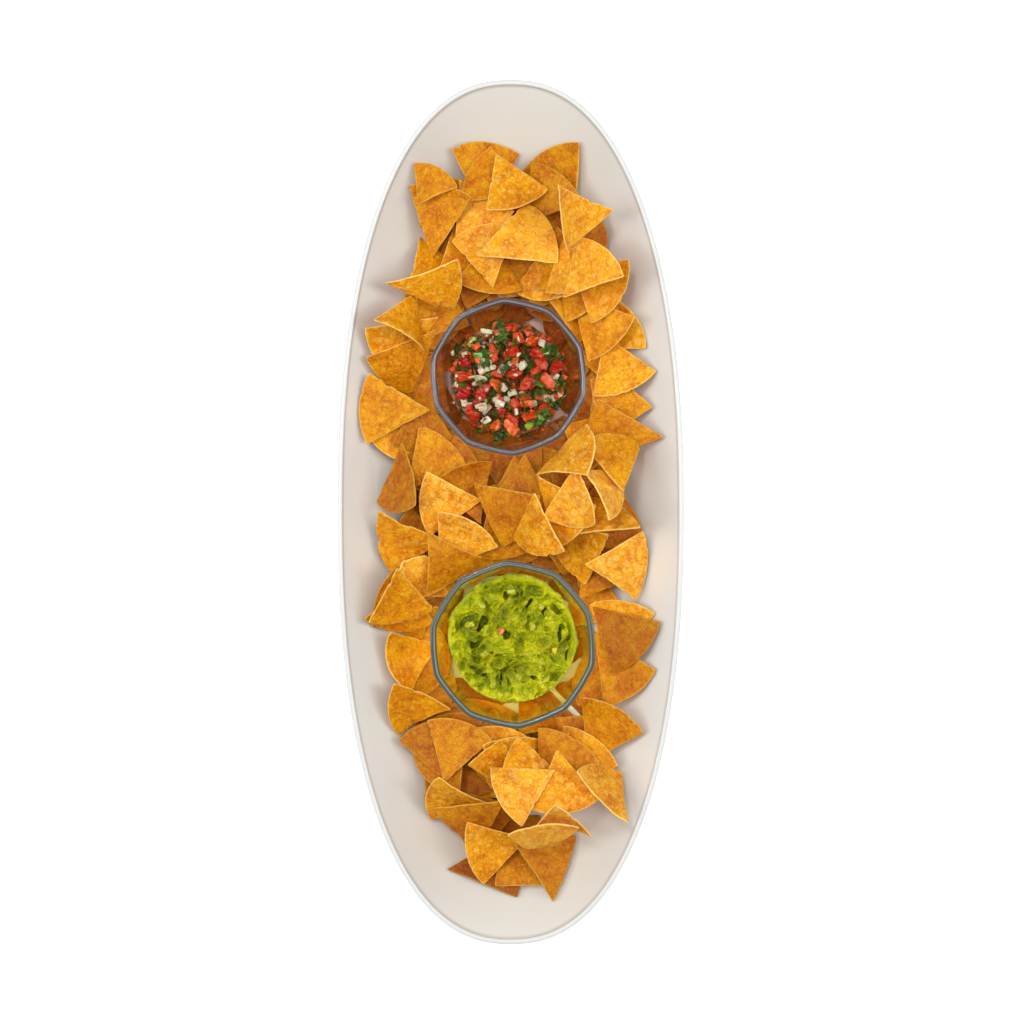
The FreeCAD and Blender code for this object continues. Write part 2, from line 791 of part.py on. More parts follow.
def lay_salsa():
    """The cut vegetables, dropped at random on the salsa's surface."""
    bx, by, rim = BOWLS[0]
    level, crown = size("salsa_level"), size("salsa_crown")
    edge = inside_radius(level, rim) - 0.8

    def ground(x, y):
        near = math.hypot(x - bx, y - by)
        if near > edge + 1.5:
            return 1e3
        dome = crown * (1 - (near / edge) ** 2) if near < edge else 0.0
        return size("dish_floor") + level + dome + 0.9

    field = HeightField((bx, by), edge + 8, edge + 8, 0.8, ground)
    chance = random.Random(SALSA_SEED)
    order = [name for name, (count, _) in SALSA_CUTS.items() for _ in range(count)]
    chance.shuffle(order)
    laid = {name: [] for name in SALSA_CUTS}
    kinds = {name: [BlockKind(*b) for b in blocks] for name, (_, blocks) in SALSA_CUTS.items()}
    for name in order:
        kind = chance.choice(kinds[name])
        spots = []
        for _ in range(DROP_TRIES):
            reach, around = edge * 0.93 * math.sqrt(chance.random()), chance.uniform(0, 2 * math.pi)
            x, y = bx + reach * math.cos(around), by + reach * math.sin(around)
            spot = settle(field, kind, x, y, chance.uniform(0, 360))
            spots.append(spot)
        best = min(spots, key=lambda s: s.z)
        if best.z > 100:
            continue
        field.raise_to(kind.low + kind.high, best.rows, best.x, best.y, best.z, CUT_GAP)
        laid[name].append(best)
    return laid


# Pieces half sunk in the guacamole: from the bowl's axis in x and y, turn, and the block's sides.
GUAC_BITS = {
    "avocado_chunks": (
        (-31, 13, 20, (6.0, 4.5, 3.5)),
        (14, 12, 70, (5.5, 4.5, 3.0)),
        (-1, 36, 10, (6.0, 4.5, 3.0)),
        (20, 26, 130, (5.0, 4.0, 3.0)),
        (-20, -8, 40, (5.0, 4.5, 3.5)),
        (30, -6, 95, (4.5, 3.5, 3.0)),
        (4, -24, 150, (5.5, 4.0, 3.0)),
        (-14, -30, 75, (4.5, 4.0, 3.0)),
        (24, -26, 15, (5.0, 4.0, 3.0)),
        (-22, 27, 110, (4.5, 4.0, 3.0)),
    ),
    "guacamole_tomato_bits": ((-8, 9, 35, (4.5, 3.5, 2.5)),),
}


def lay_guac_bits():
    """Small chunks half sunk in the top of the guacamole."""
    bx, by, rim = BOWLS[1]
    level, crown = size("guac_level"), size("guac_crown")
    edge = inside_radius(level, rim) - 0.8
    laid = {}
    for name, bits in GUAC_BITS.items():
        laid[name] = []
        for x, y, turn, sides in bits:
            dome = crown * (1 - (math.hypot(x, y) / edge) ** 2)
            z = size("dish_floor") + level + dome + 0.4
            rotation = Rotation(Vector(0, 0, 1), turn)
            laid[name].append(Laid(BlockKind(*sides), bx + x, by + y, rotation, z))
    return laid


# ---------------------------------------------------------------------------------------------
# The whole server
# ---------------------------------------------------------------------------------------------
def group(label, pieces):
    """One sub-part that holds several separate pieces."""
    solids = []
    for piece in pieces:
        solid = piece.kind.shape().Solids[0]
        solid.Placement = piece.placement()
        solids.append(solid)
    shape = solids[0] if len(solids) == 1 else Part.makeCompound(solids)
    return subpart(feature(label, shape), label)


SINGLE_CHIPS = 38


def build_chips():
    bed, shown = lay_heap()
    by_zone = {}
    singles = set(id(laid) for laid in sorted((s for _, s in shown), key=lambda s: -s.z)[:SINGLE_CHIPS])
    number = 0
    for zone, laid in shown:
        if id(laid) in singles:
            number += 1
            group(f"top_chip_{number:02d}", [laid])
        else:
            by_zone.setdefault(zone, []).append(laid)
    for zone, laid in by_zone.items():
        group(f"upper_chips_{zone}", laid)
    for name, low, high in (
        ("north", 140, 400),
        ("salsa_sides", 40, 140),
        ("middle", -40, 40),
        ("guacamole_sides", -140, -40),
        ("south", -400, -140),
    ):
        group(f"bed_chips_{name}", [b for b in bed if low <= b.y < high])


def check_and_write():
    """Stops if any object failed or any sub-part isn't a valid solid, then writes the STEP files."""
    DOC.recompute()
    failed = [o.Name for o in DOC.Objects if {"Invalid", "Error"} & set(o.State)]
    if failed:
        raise SystemExit(f"these objects failed: {failed}")
    os.makedirs("parts", exist_ok=True)
    for old in os.listdir("parts"):
        if old.endswith(".step"):
            os.remove(os.path.join("parts", old))
    for thing in SUBPARTS:
        shape = thing.Shape
        if shape.isNull() or not shape.isValid() or not shape.Solids:
            raise SystemExit(f"{thing.Label} isn't a valid solid")
        if min(s.Volume for s in shape.Solids) <= 0:
            raise SystemExit(f"{thing.Label} has an inside-out solid")
        shape.exportStep(f"parts/{thing.Label}.step")
        print(f"{thing.Label}: {len(shape.Solids)} solids, {shape.Volume / 1000:.2f} cm3")


def main():
    build_dish()
    salsa_bowl = build_bowl("salsa_bowl", "salsa_radius")
    move_to(salsa_bowl, "salsa_place_x", "salsa_place_y")
    subpart(salsa_bowl, "salsa_bowl")
    guac_bowl = build_bowl("guacamole_bowl", "guac_radius")
    move_to(guac_bowl, "guac_place_x", "guac_place_y")
    subpart(guac_bowl, "guacamole_bowl")
    salsa = build_dip("salsa", size("salsa_radius"), size("salsa_level"), size("salsa_crown"))
    move_to(salsa, "salsa_place_x", "salsa_place_y")
    subpart(salsa, "salsa_juice")
    guac = build_dip("guacamole", size("guac_radius"), size("guac_level"), size("guac_crown"))
    move_to(guac, "guac_place_x", "guac_place_y")
    subpart(guac, "guacamole")
    for label, pieces in lay_salsa().items():
        group(label, pieces)
    for label, pieces in lay_guac_bits().items():
        group(label, pieces)
    build_chips()
    check_and_write()


main()
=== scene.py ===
import math

import bpy
import numpy as np
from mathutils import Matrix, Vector
from mathutils.bvhtree import BVHTree


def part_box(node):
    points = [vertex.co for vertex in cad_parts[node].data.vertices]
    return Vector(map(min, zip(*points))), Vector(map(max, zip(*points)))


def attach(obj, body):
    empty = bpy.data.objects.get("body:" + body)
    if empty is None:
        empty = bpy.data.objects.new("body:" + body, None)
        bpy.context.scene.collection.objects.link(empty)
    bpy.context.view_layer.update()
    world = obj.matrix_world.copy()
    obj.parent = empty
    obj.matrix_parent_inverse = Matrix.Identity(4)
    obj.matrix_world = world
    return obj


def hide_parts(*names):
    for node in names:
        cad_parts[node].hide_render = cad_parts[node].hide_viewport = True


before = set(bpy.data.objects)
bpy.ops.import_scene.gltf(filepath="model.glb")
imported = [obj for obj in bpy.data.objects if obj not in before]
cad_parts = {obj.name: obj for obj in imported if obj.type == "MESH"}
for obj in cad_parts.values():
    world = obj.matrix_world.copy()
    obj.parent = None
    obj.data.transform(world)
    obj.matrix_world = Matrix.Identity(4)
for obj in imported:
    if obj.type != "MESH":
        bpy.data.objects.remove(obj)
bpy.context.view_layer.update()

# A chip and dip server seen from above: a long oval glazed dish, two faceted glass bowls with salsa
# and guacamole, and tortilla chips heaped around them. Lengths are in metres; MM is one millimetre.

MM = 0.001
DISH, SALSA, GUAC = "serving_dish", "salsa_bowl", "guacamole_bowl"


# ---- Smooth random fields, the same on every run ----
def hashed(ix, iy, iz, seed):
    """A number from 0 to 1 for each lattice point."""
    n = (ix * 374761393 + iy * 668265263 + iz * 1440670441 + seed * 1274126177) & 0xFFFFFFFF
    n = ((n ^ (n >> 13)) * 1274126177) & 0xFFFFFFFF
    n = ((n ^ (n >> 16)) * 2246822519) & 0xFFFFFFFF
    return ((n ^ (n >> 15)) & 0xFFFFFF) / float(0xFFFFFF)


def smooth_noise(p, scale, seed):
    """Value noise from -1 to 1 at points p, with features about scale long."""
    q = np.asarray(p, float) / scale
    i = np.floor(q).astype(np.int64)
    f = q - i
    f = f * f * f * (f * (f * 6 - 15) + 10)
    total = np.zeros(len(q))
    for dx in (0, 1):
        wx = f[:, 0] if dx else 1 - f[:, 0]
        for dy in (0, 1):
            wy = f[:, 1] if dy else 1 - f[:, 1]
            for dz in (0, 1):
                wz = f[:, 2] if dz else 1 - f[:, 2]
                total += wx * wy * wz * hashed(i[:, 0] + dx, i[:, 1] + dy, i[:, 2] + dz, seed)
    return total * 2 - 1


def octave_sum(p, scale, seed, octaves, gain, seed_step, shaped):
    """Ever finer noise added up, each octave shaped first and weaker by gain than the one before."""
    total, weight, share = 0.0, 0.0, 1.0
    for k in range(octaves):
        total = total + share * shaped(smooth_noise(p, scale / 2**k, seed + seed_step * k))
        weight += share
        share *= gain
    return total / weight


def fractal(p, scale, seed, octaves, gain=0.5):
    return octave_sum(p, scale, seed, octaves, gain, 17, lambda n: n)


def ridged(p, scale, seed, octaves, gain):
    """Sharp crests: near 1 on a crest, near 0 between them."""
    return octave_sum(p, scale, seed, octaves, gain, 31, lambda n: (1 - np.abs(n)) ** 2)


def blobs(p, scale, seed, share, small, large):
    """Round bumps from 0 to 1 at random spots of the plane, one in some of the cells."""
    q = np.asarray(p, float)[:, :2] / scale
    i = np.floor(q).astype(np.int64)
    zero = np.zeros(len(q), np.int64)
    best = np.zeros(len(q))
    for dx in (-1, 0, 1):
        for dy in (-1, 0, 1):
            cx, cy = i[:, 0] + dx, i[:, 1] + dy
            px = cx + 0.15 + 0.7 * hashed(cx, cy, zero, seed)
            py = cy + 0.15 + 0.7 * hashed(cx, cy, zero + 1, seed)
            size = small + (large - small) * hashed(cx, cy, zero + 2, seed)
            there = hashed(cx, cy, zero + 3, seed) < share
            d2 = ((q[:, 0] - px) ** 2 + (q[:, 1] - py) ** 2) / size**2
            best = np.maximum(best, np.where(there, np.clip(1 - d2, 0, 1) ** 1.5, 0))
    return best


def step(low, high, x):
    """A smooth rise from 0 at low to 1 at high."""
    t = np.clip((x - low) / (high - low), 0, 1)
    return t * t * (3 - 2 * t)


# ---- Meshes ----
def make_object(name, verts, quads, tris=(), floats=None, vectors=None):
    """A smooth-shaded mesh object from arrays, with named values on its points."""
    quads = np.asarray(quads, np.int64).reshape(-1, 4)
    tris = np.asarray(tris, np.int64).reshape(-1, 3)
    mesh = bpy.data.meshes.new(name)
    mesh.vertices.add(len(verts))
    mesh.vertices.foreach_set("co", np.asarray(verts, np.float32).ravel())
    loops = np.concatenate([quads.ravel(), tris.ravel()]).astype(np.int32)
    mesh.loops.add(len(loops))
    mesh.loops.foreach_set("vertex_index", loops)
    starts = np.concatenate([np.arange(len(quads)) * 4, 4 * len(quads) + np.arange(len(tris)) * 3])
    mesh.polygons.add(len(quads) + len(tris))
    mesh.polygons.foreach_set("loop_start", starts.astype(np.int32))
    mesh.polygons.foreach_set("use_smooth", np.ones(len(starts), bool))
    mesh.update(calc_edges=True)
    for kind, field, named in (("FLOAT", "value", floats), ("FLOAT_VECTOR", "vector", vectors)):
        for key, values in (named or {}).items():
            data = mesh.attributes.new(key, kind, "POINT").data
            data.foreach_set(field, np.asarray(values, np.float32).ravel())
    mesh.validate()
    made = bpy.data.objects.new(name, mesh)
    bpy.context.scene.collection.objects.link(made)
    return made


class Pile:
    """Many small meshes gathered into one object."""

    def __init__(self):
        self.verts, self.quads, self.tris, self.floats, self.vectors, self.count = [], [], [], {}, {}, 0

    def add(self, verts, quads, tris=(), floats=None, vectors=None):
        self.verts.append(np.asarray(verts, float))
        self.quads.append(np.asarray(quads, np.int64).reshape(-1, 4) + self.count)
        self.tris.append(np.asarray(tris, np.int64).reshape(-1, 3) + self.count)
        for store, given in ((self.floats, floats), (self.vectors, vectors)):
            for key, values in (given or {}).items():
                store.setdefault(key, []).append(np.asarray(values, float))
        self.count += len(verts)

    def finish(self, name):
        return make_object(
            name,
            np.concatenate(self.verts),
            np.concatenate(self.quads),
            np.concatenate(self.tris),
            {k: np.concatenate(v) for k, v in self.floats.items()},
            {k: np.concatenate(v) for k, v in self.vectors.items()},
        )


def ring_quads(rings, around, first=0):
    """Quads between closed rings of points that follow each other."""
    j = np.arange(around)
    out = []
    for i in range(rings - 1):
        a, b = first + i * around, first + (i + 1) * around
        out.append(np.stack([a + j, a + (j + 1) % around, b + (j + 1) % around, b + j], 1))
    return np.concatenate(out)


def fan(point, first, around, turned=False):
    """Triangles between one point and a closed ring of points."""
    j = np.arange(around)
    tris = np.stack([np.full(around, point), first + j, first + (j + 1) % around], 1)
    return tris[:, [0, 2, 1]] if turned else tris


def full_turn(around):
    return np.linspace(0, 2 * math.pi, around, endpoint=False)


def islands(node):
    """The separate solids of a CAD node, each as (corner points, triangles)."""
    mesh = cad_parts[node].data
    co = np.zeros(len(mesh.vertices) * 3)
    mesh.vertices.foreach_get("co", co)
    co = co.reshape(-1, 3)
    mesh.calc_loop_triangles()
    tri = np.zeros(len(mesh.loop_triangles) * 3, np.int32)
    mesh.loop_triangles.foreach_get("vertices", tri)
    tri = tri.reshape(-1, 3)
    _, first, same = np.unique(np.round(co / 1e-6).astype(np.int64), axis=0, return_index=True,
                               return_inverse=True)
    co, tri = co[first], same.ravel()[tri]
    label = np.arange(len(co))
    while True:
        low = label[tri].min(1)
        new = label.copy()
        for k in range(3):
            np.minimum.at(new, tri[:, k], low)
        if (new == label).all():
            break
        label = new
    found = []
    for mark in np.unique(label[tri[:, 0]]):
        own = tri[label[tri[:, 0]] == mark]
        used, flat = np.unique(own, return_inverse=True)
        found.append((co[used], flat.reshape(-1, 3)))
    return sorted(found, key=lambda s: tuple(np.round(s[0].mean(0), 6)))


# ---- Materials ----
class Shader:
    """Short ways to build a node material."""

    def __init__(self, name):
        self.material = bpy.data.materials.new(name)
        self.material.use_nodes = True
        self.tree = self.material.node_tree
        self.main = self.tree.nodes["Principled BSDF"]
        self.output = self.tree.nodes["Material Output"]

    def node(self, kind, **settings):
        made = self.tree.nodes.new(kind)
        for key, value in settings.items():
            setattr(made, key, value)
        return made

    def put(self, socket, value):
        if hasattr(value, "is_linked"):
            self.tree.links.new(value, socket)
        elif isinstance(value, (tuple, list)) and len(value) == 3 and len(socket.default_value) == 4:
            socket.default_value = (*value, 1)
        else:
            socket.default_value = value

    def set(self, **values):
        for key, value in values.items():
            self.put(self.main.inputs[key.replace("_", " ")], value)

    def wired(self, kind, output, inputs, **settings):
        """One output of a new node, with the node's inputs given by name."""
        made = self.node(kind, **settings)
        for key, value in inputs.items():
            self.put(made.inputs[key], value)
        return made.outputs[output]

    def attribute(self, name, output="Fac"):
        return self.wired("ShaderNodeAttribute", output, {}, attribute_name=name)

    def noise(self, vector, scale, detail=3.0, roughness=0.5, distortion=0.0):
        inputs = {"Vector": vector, "Scale": scale, "Detail": detail, "Roughness": roughness}
        return self.wired("ShaderNodeTexNoise", "Fac", {**inputs, "Distortion": distortion})

    def cells(self, vector, scale):
        return self.wired("ShaderNodeTexVoronoi", "Distance", {"Vector": vector, "Scale": scale})

    def ramp(self, value, *stops):
        """Maps a value to colours or greys, given as (position, colour)."""
        made = self.node("ShaderNodeValToRGB")
        band = made.color_ramp
        while len(band.elements) < len(stops):
            band.elements.new(1.0)
        for element, (at, colour) in zip(band.elements, stops):
            element.position = at
            element.color = (*colour, 1) if isinstance(colour, tuple) else (colour, colour, colour, 1)
        self.put(made.inputs["Fac"], value)
        return made.outputs["Color"]

    def mix(self, share, a, b, how="MIX"):
        inputs = {"Factor": share, "A": a, "B": b}
        return self.wired("ShaderNodeMix", "Result", inputs, data_type="RGBA", blend_type=how)

    def layer(self, under, mask, strength, over):
        """Lays one colour over another where the mask is bright."""
        return self.mix(self.math("MULTIPLY", mask, strength), under, over)

    def math(self, how, a, b=0.0):
        return self.wired("ShaderNodeMath", 0, {0: a, 1: b}, operation=how)

    def line(self, value, slope, start):
        return self.math("ADD", self.math("MULTIPLY", value, slope), start)

    def bump(self, height, distance, strength, normal=None):
        inputs = {"Height": height, "Distance": distance, "Strength": strength}
        if normal is not None:
            inputs["Normal"] = normal
        return self.wired("ShaderNodeBump", "Normal", inputs)

    def colour_shift(self, colour, hue, saturation, value):
        inputs = {"Color": colour, "Hue": hue, "Saturation": saturation, "Value": value}
        return self.wired("ShaderNodeHueSaturation", "Color", inputs)


def tortilla_material():
    s = Shader("tortilla")
    flat = s.attribute("flat", "Vector")  # millimetres on the chip, with its own offset
    tone = s.attribute("tone")
    puff = s.attribute("puff")
    rim = s.attribute("rim")
    patches = s.noise(flat, 0.08, 3.0, 0.55, 0.4)
    colour = s.ramp(patches, (0.32, (0.6, 0.15, 0.0005)), (0.5, (0.8, 0.28, 0.002)),
                    (0.68, (0.92, 0.42, 0.015)))
    mottle = s.noise(flat, 0.36, 5.0, 0.65, 0.5)
    pale = s.ramp(mottle, (0.46, 0.0), (0.6, 1.0))
    colour = s.layer(colour, pale, 0.42, (0.95, 0.57, 0.1))
    lines = s.ramp(puff, (0.0, 0.0), (0.05, 1.0), (0.2, 0.0))
    colour = s.layer(colour, lines, 0.28, (0.5, 0.12, 0.001))
    blister = s.ramp(puff, (0.1, 0.0), (0.6, 1.0))
    colour = s.layer(colour, blister, 0.34, (0.97, 0.67, 0.18))
    grain = s.ramp(s.noise(flat, 1.2, 5.0, 0.75), (0.36, (0.58, 0.36, 0.12)), (0.55, (1.0, 1.0, 1.0)))
    colour = s.mix(0.85, colour, grain, "MULTIPLY")
    toasted = s.ramp(s.noise(flat, 0.17, 5.0, 0.7, 0.8), (0.55, 0.0), (0.7, 1.0))
    colour = s.layer(colour, toasted, 0.45, (0.4, 0.085, 0.001))
    specks = s.ramp(s.cells(flat, 0.2), (0.022, 1.0), (0.045, 0.0))
    colour = s.layer(colour, specks, 0.75, (0.07, 0.016, 0.001))
    # painted highlight: a pale yellow band along the chip's edge
    colour = s.layer(colour, rim, 0.65, (0.99, 0.72, 0.25))
    # tone is partly random per chip and partly painted light and shade by height in the heap: chips on top
    # paler, deep chips darker
    value = s.line(tone, 0.4, 0.94)
    hue = s.line(tone, 0.012, 0.497)
    tone_and_shade_saturation = s.line(tone, -0.1, 1.1)  # painted shade: deep chips are darker and stronger in colour
    colour = s.colour_shift(colour, hue, tone_and_shade_saturation, value)
    fine = s.noise(flat, 2.4, 3.0, 0.7)
    medium = s.noise(flat, 0.5, 3.0, 0.6)
    normal = s.bump(fine, 0.3 * MM, 0.8, s.bump(medium, 0.9 * MM, 0.8))
    s.set(Base_Color=colour, Roughness=s.ramp(fine, (0.3, 0.36), (0.7, 0.6)), Normal=normal)
    s.set(Subsurface_Weight=0.1, Subsurface_Radius=(1.0, 0.35, 0.05), Subsurface_Scale=1.2 * MM)
    s.set(Specular_IOR_Level=0.25)
    return s.material


def glaze_material():
    """White glaze with painted light and shade: darker and warmer low in the dish, as painted shade and
    orange bounce light from the chips, whiter near the rim, and painted shade at its two ends.
    """
    s = Shader("dish_glaze")
    where = s.node("ShaderNodeTexCoord").outputs["Object"]
    soft = s.noise(where, 14.0, 2.0)
    split = s.node("ShaderNodeSeparateXYZ")
    s.put(split.inputs[0], where)
    height = s.math("MULTIPLY", split.outputs["Z"], 1 / RIM_Z)
    # painted shade and painted orange bounce light low in the dish, whiter towards the rim
    colour = s.ramp(height, (0.1, (0.88, 0.83, 0.76)), (0.45, (0.9, 0.88, 0.82)),
                    (0.8, (0.91, 0.92, 0.88)), (1.0, (0.95, 0.97, 0.96)))
    colour = s.mix(s.ramp(soft, (0.35, 0.0), (0.65, 0.12)), colour, (0.95, 0.95, 0.94))
    # painted shade: darker towards the dish's two ends
    end_shade = s.ramp(s.math("ABSOLUTE", split.outputs["Y"]), (0.17, (1.0, 1.0, 1.0)), (0.25, (0.87, 0.84, 0.81)))
    colour = s.mix(1.0, colour, end_shade, "MULTIPLY")
    # painted shade: a grey line along the top of the outer wall and over the lip
    colour = s.mix(s.attribute("edge"), colour, (0.8, 0.825, 0.82))
    s.set(Base_Color=colour, Roughness=0.32, Specular_IOR_Level=0.3)
    s.set(Coat_Weight=0.12, Coat_Roughness=0.06)
    s.set(Normal=s.bump(s.noise(where, 60.0, 2.0), 0.15 * MM, 0.25))
    return s.material


def glass_material(name, tint, rim_reflection, film):
    """Glass with a rim painted grey as a reflection of its dark surroundings, with lines of painted highlight
    across it, and a film of the dip on its wall. Lamps shine through to the dip.
    """
    s = Shader(name)
    rim = s.attribute("rim")
    rim_highlight = tuple(0.45 + 0.5 * c for c in rim_reflection)
    # painted highlight lines and painted grey reflection across the rim
    lip = s.ramp(s.attribute("band"), (0.0, rim_highlight), (0.16, rim_reflection), (0.6, rim_reflection), (0.8, rim_highlight),
                 (1.0, rim_reflection))
    wall = s.mix(s.attribute("film"), tint, film)
    s.set(Base_Color=s.mix(rim, wall, lip), Roughness=0.05, IOR=1.42)
    s.set(Transmission_Weight=s.math("SUBTRACT", 1.0, s.math("MULTIPLY", rim, 0.55)))
    clear = s.node("ShaderNodeBsdfTransparent")
    s.put(clear.inputs["Color"], tint)
    both = s.node("ShaderNodeMixShader")
    s.put(both.inputs[0], s.node("ShaderNodeLightPath").outputs["Is Shadow Ray"])
    s.put(both.inputs[1], s.main.outputs["BSDF"])
    s.put(both.inputs[2], clear.outputs["BSDF"])
    s.put(s.output.inputs["Surface"], both.outputs["Shader"])
    return s.material


def food_material(name, colour, roughness=0.25, subsurface=0.3, radius=(1.0, 0.3, 0.15),
                  scale=1.5 * MM, coat=0.4, bump=0.25, grain=0.9):
    """Moist food whose colour comes from a function of the shader and its own coordinates."""
    s = Shader(name)
    flat = s.attribute("flat", "Vector")
    s.set(Base_Color=colour(s, flat), Roughness=roughness, Specular_IOR_Level=0.3)
    s.set(Subsurface_Weight=subsurface, Subsurface_Radius=radius, Subsurface_Scale=scale)
    s.set(Coat_Weight=coat, Coat_Roughness=0.1)
    s.set(Normal=s.bump(s.noise(flat, grain, 4.0, 0.6), bump * MM, 0.8))
    return s.material


def tomato_colour(s, flat):
    tone = s.attribute("tone")
    inside = s.ramp(s.noise(flat, 0.26, 5.0, 0.65, 0.6), (0.3, (0.46, 0.014, 0.002)),
                    (0.48, (0.7, 0.045, 0.006)), (0.58, (0.78, 0.12, 0.03)), (0.72, (0.84, 0.36, 0.19)))
    colour = s.mix(s.attribute("skin"), inside, (0.55, 0.012, 0.004))
    return s.colour_shift(colour, s.line(tone, 0.01, 0.505), 1.0, s.line(tone, 0.22, 1.0))


def onion_colour(s, flat):
    tone = s.attribute("tone")
    plain = s.ramp(s.noise(flat, 0.4, 4.0, 0.5), (0.3, (0.6, 0.47, 0.28)), (0.6, (0.92, 0.85, 0.68)))
    pink = s.ramp(tone, (0.35, 0.0), (1.0, 0.75))
    green = s.ramp(tone, (0.0, 0.35), (0.3, 0.0))
    return s.mix(green, s.mix(pink, plain, (0.68, 0.27, 0.16)), (0.45, 0.55, 0.16))


def cilantro_colour(s, flat):
    tone = s.attribute("tone")
    leaf = s.ramp(s.noise(flat, 0.5, 4.0, 0.6), (0.3, (0.014, 0.034, 0.001)), (0.55, (0.05, 0.105, 0.003)),
                  (0.78, (0.16, 0.26, 0.01)))
    return s.colour_shift(leaf, 0.49, 1.0, s.line(tone, 0.55, 1.0))


def jalapeno_colour(s, flat):
    inside = s.ramp(s.noise(flat, 0.4, 3.0, 0.5), (0.3, (0.17, 0.38, 0.02)), (0.7, (0.42, 0.6, 0.07)))
    return s.mix(s.attribute("skin"), inside, (0.08, 0.28, 0.008))


def juice_colour(s, flat):
    """Brown-red juice with herbs in it."""
    base = s.ramp(s.noise(flat, 0.16, 5.0, 0.6, 0.5), (0.3, (0.03, 0.012, 0.002)),
                  (0.45, (0.19, 0.045, 0.003)), (0.58, (0.42, 0.1, 0.008)), (0.72, (0.62, 0.24, 0.06)))
    green = s.ramp(s.noise(flat, 0.26, 4.0, 0.7), (0.54, 0.0), (0.62, 1.0))
    return s.layer(base, green, 0.85, (0.016, 0.05, 0.004))


def guacamole_colour(s, flat):
    """Green mash, with painted shade darkening the hollows and painted light making the crests yellower."""
    depth = s.attribute("depth")
    noise = s.noise(flat, 0.2, 5.0, 0.62, 0.6)
    mass = s.ramp(noise, (0.3, (0.3, 0.36, 0.001)), (0.46, (0.5, 0.52, 0.003)), (0.6, (0.68, 0.67, 0.01)),
                  (0.76, (0.82, 0.77, 0.06)))
    green = s.ramp(s.noise(flat, 0.09, 3.0, 0.5), (0.48, 0.0), (0.64, 1.0))
    mass = s.layer(mass, green, 0.45, (0.17, 0.3, 0.002))
    # painted shade in the hollows
    hollow_shade = s.ramp(depth, (0.04, 1.0), (0.42, 0.0))
    mass = s.layer(mass, hollow_shade, 0.8, (0.04, 0.075, 0.001))
    # painted light on the crests
    crest = s.ramp(depth, (0.52, 0.0), (0.8, 1.0))
    return s.layer(mass, crest, 0.55, (0.84, 0.84, 0.06))


def avocado_colour(s, flat):
    ripe = s.ramp(s.attribute("tone"), (0.1, 0.0), (0.3, 1.0))
    green = s.ramp(s.noise(flat, 0.35, 3.0, 0.5), (0.3, (0.34, 0.38, 0.003)), (0.7, (0.6, 0.58, 0.02)))
    return s.mix(ripe, green, (0.8, 0.66, 0.03))


def orange_colour(s, flat):
    return s.ramp(s.noise(flat, 0.4, 3.0, 0.5), (0.3, (0.62, 0.13, 0.015)), (0.7, (0.78, 0.28, 0.07)))


# ---- Dish ----
DISH_LOW, DISH_HIGH = (np.array(c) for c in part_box(DISH))
LIP_HALF = (DISH_HIGH - DISH_LOW)[:2] / 2
RIM_Z = DISH_HIGH[2]
OUTLINE_POWER = 2.3
RISE_POWER = 0.65
FLOOR_HALF = np.array([60.0, 200.0]) * MM
BASE_HALF = np.array([66.0, 206.0]) * MM
FLOOR_Z, SKIRT_Z = 6.5 * MM, 2.0 * MM
LIP_WIDE, LIP_TALL, LIP_SWELL = 3.9 * MM, 1.9 * MM, 0.35 * MM
# millimetres inwards from the floor's edge, and above the table, from the inside of the foot outwards
FOOT = ((5.0, 2.0), (4.9, 0.6), (4.3, 0.1), (3.6, 0.0), (1.2, 0.0), (0.4, 0.15), (0.0, 0.8), (0.0, 2.0))


def wall_half(share, at_floor, at_lip):
    """Half width and half length of the wall at a share of its height."""
    return at_floor + (at_lip - at_floor) * max(share, 0.0) ** RISE_POWER


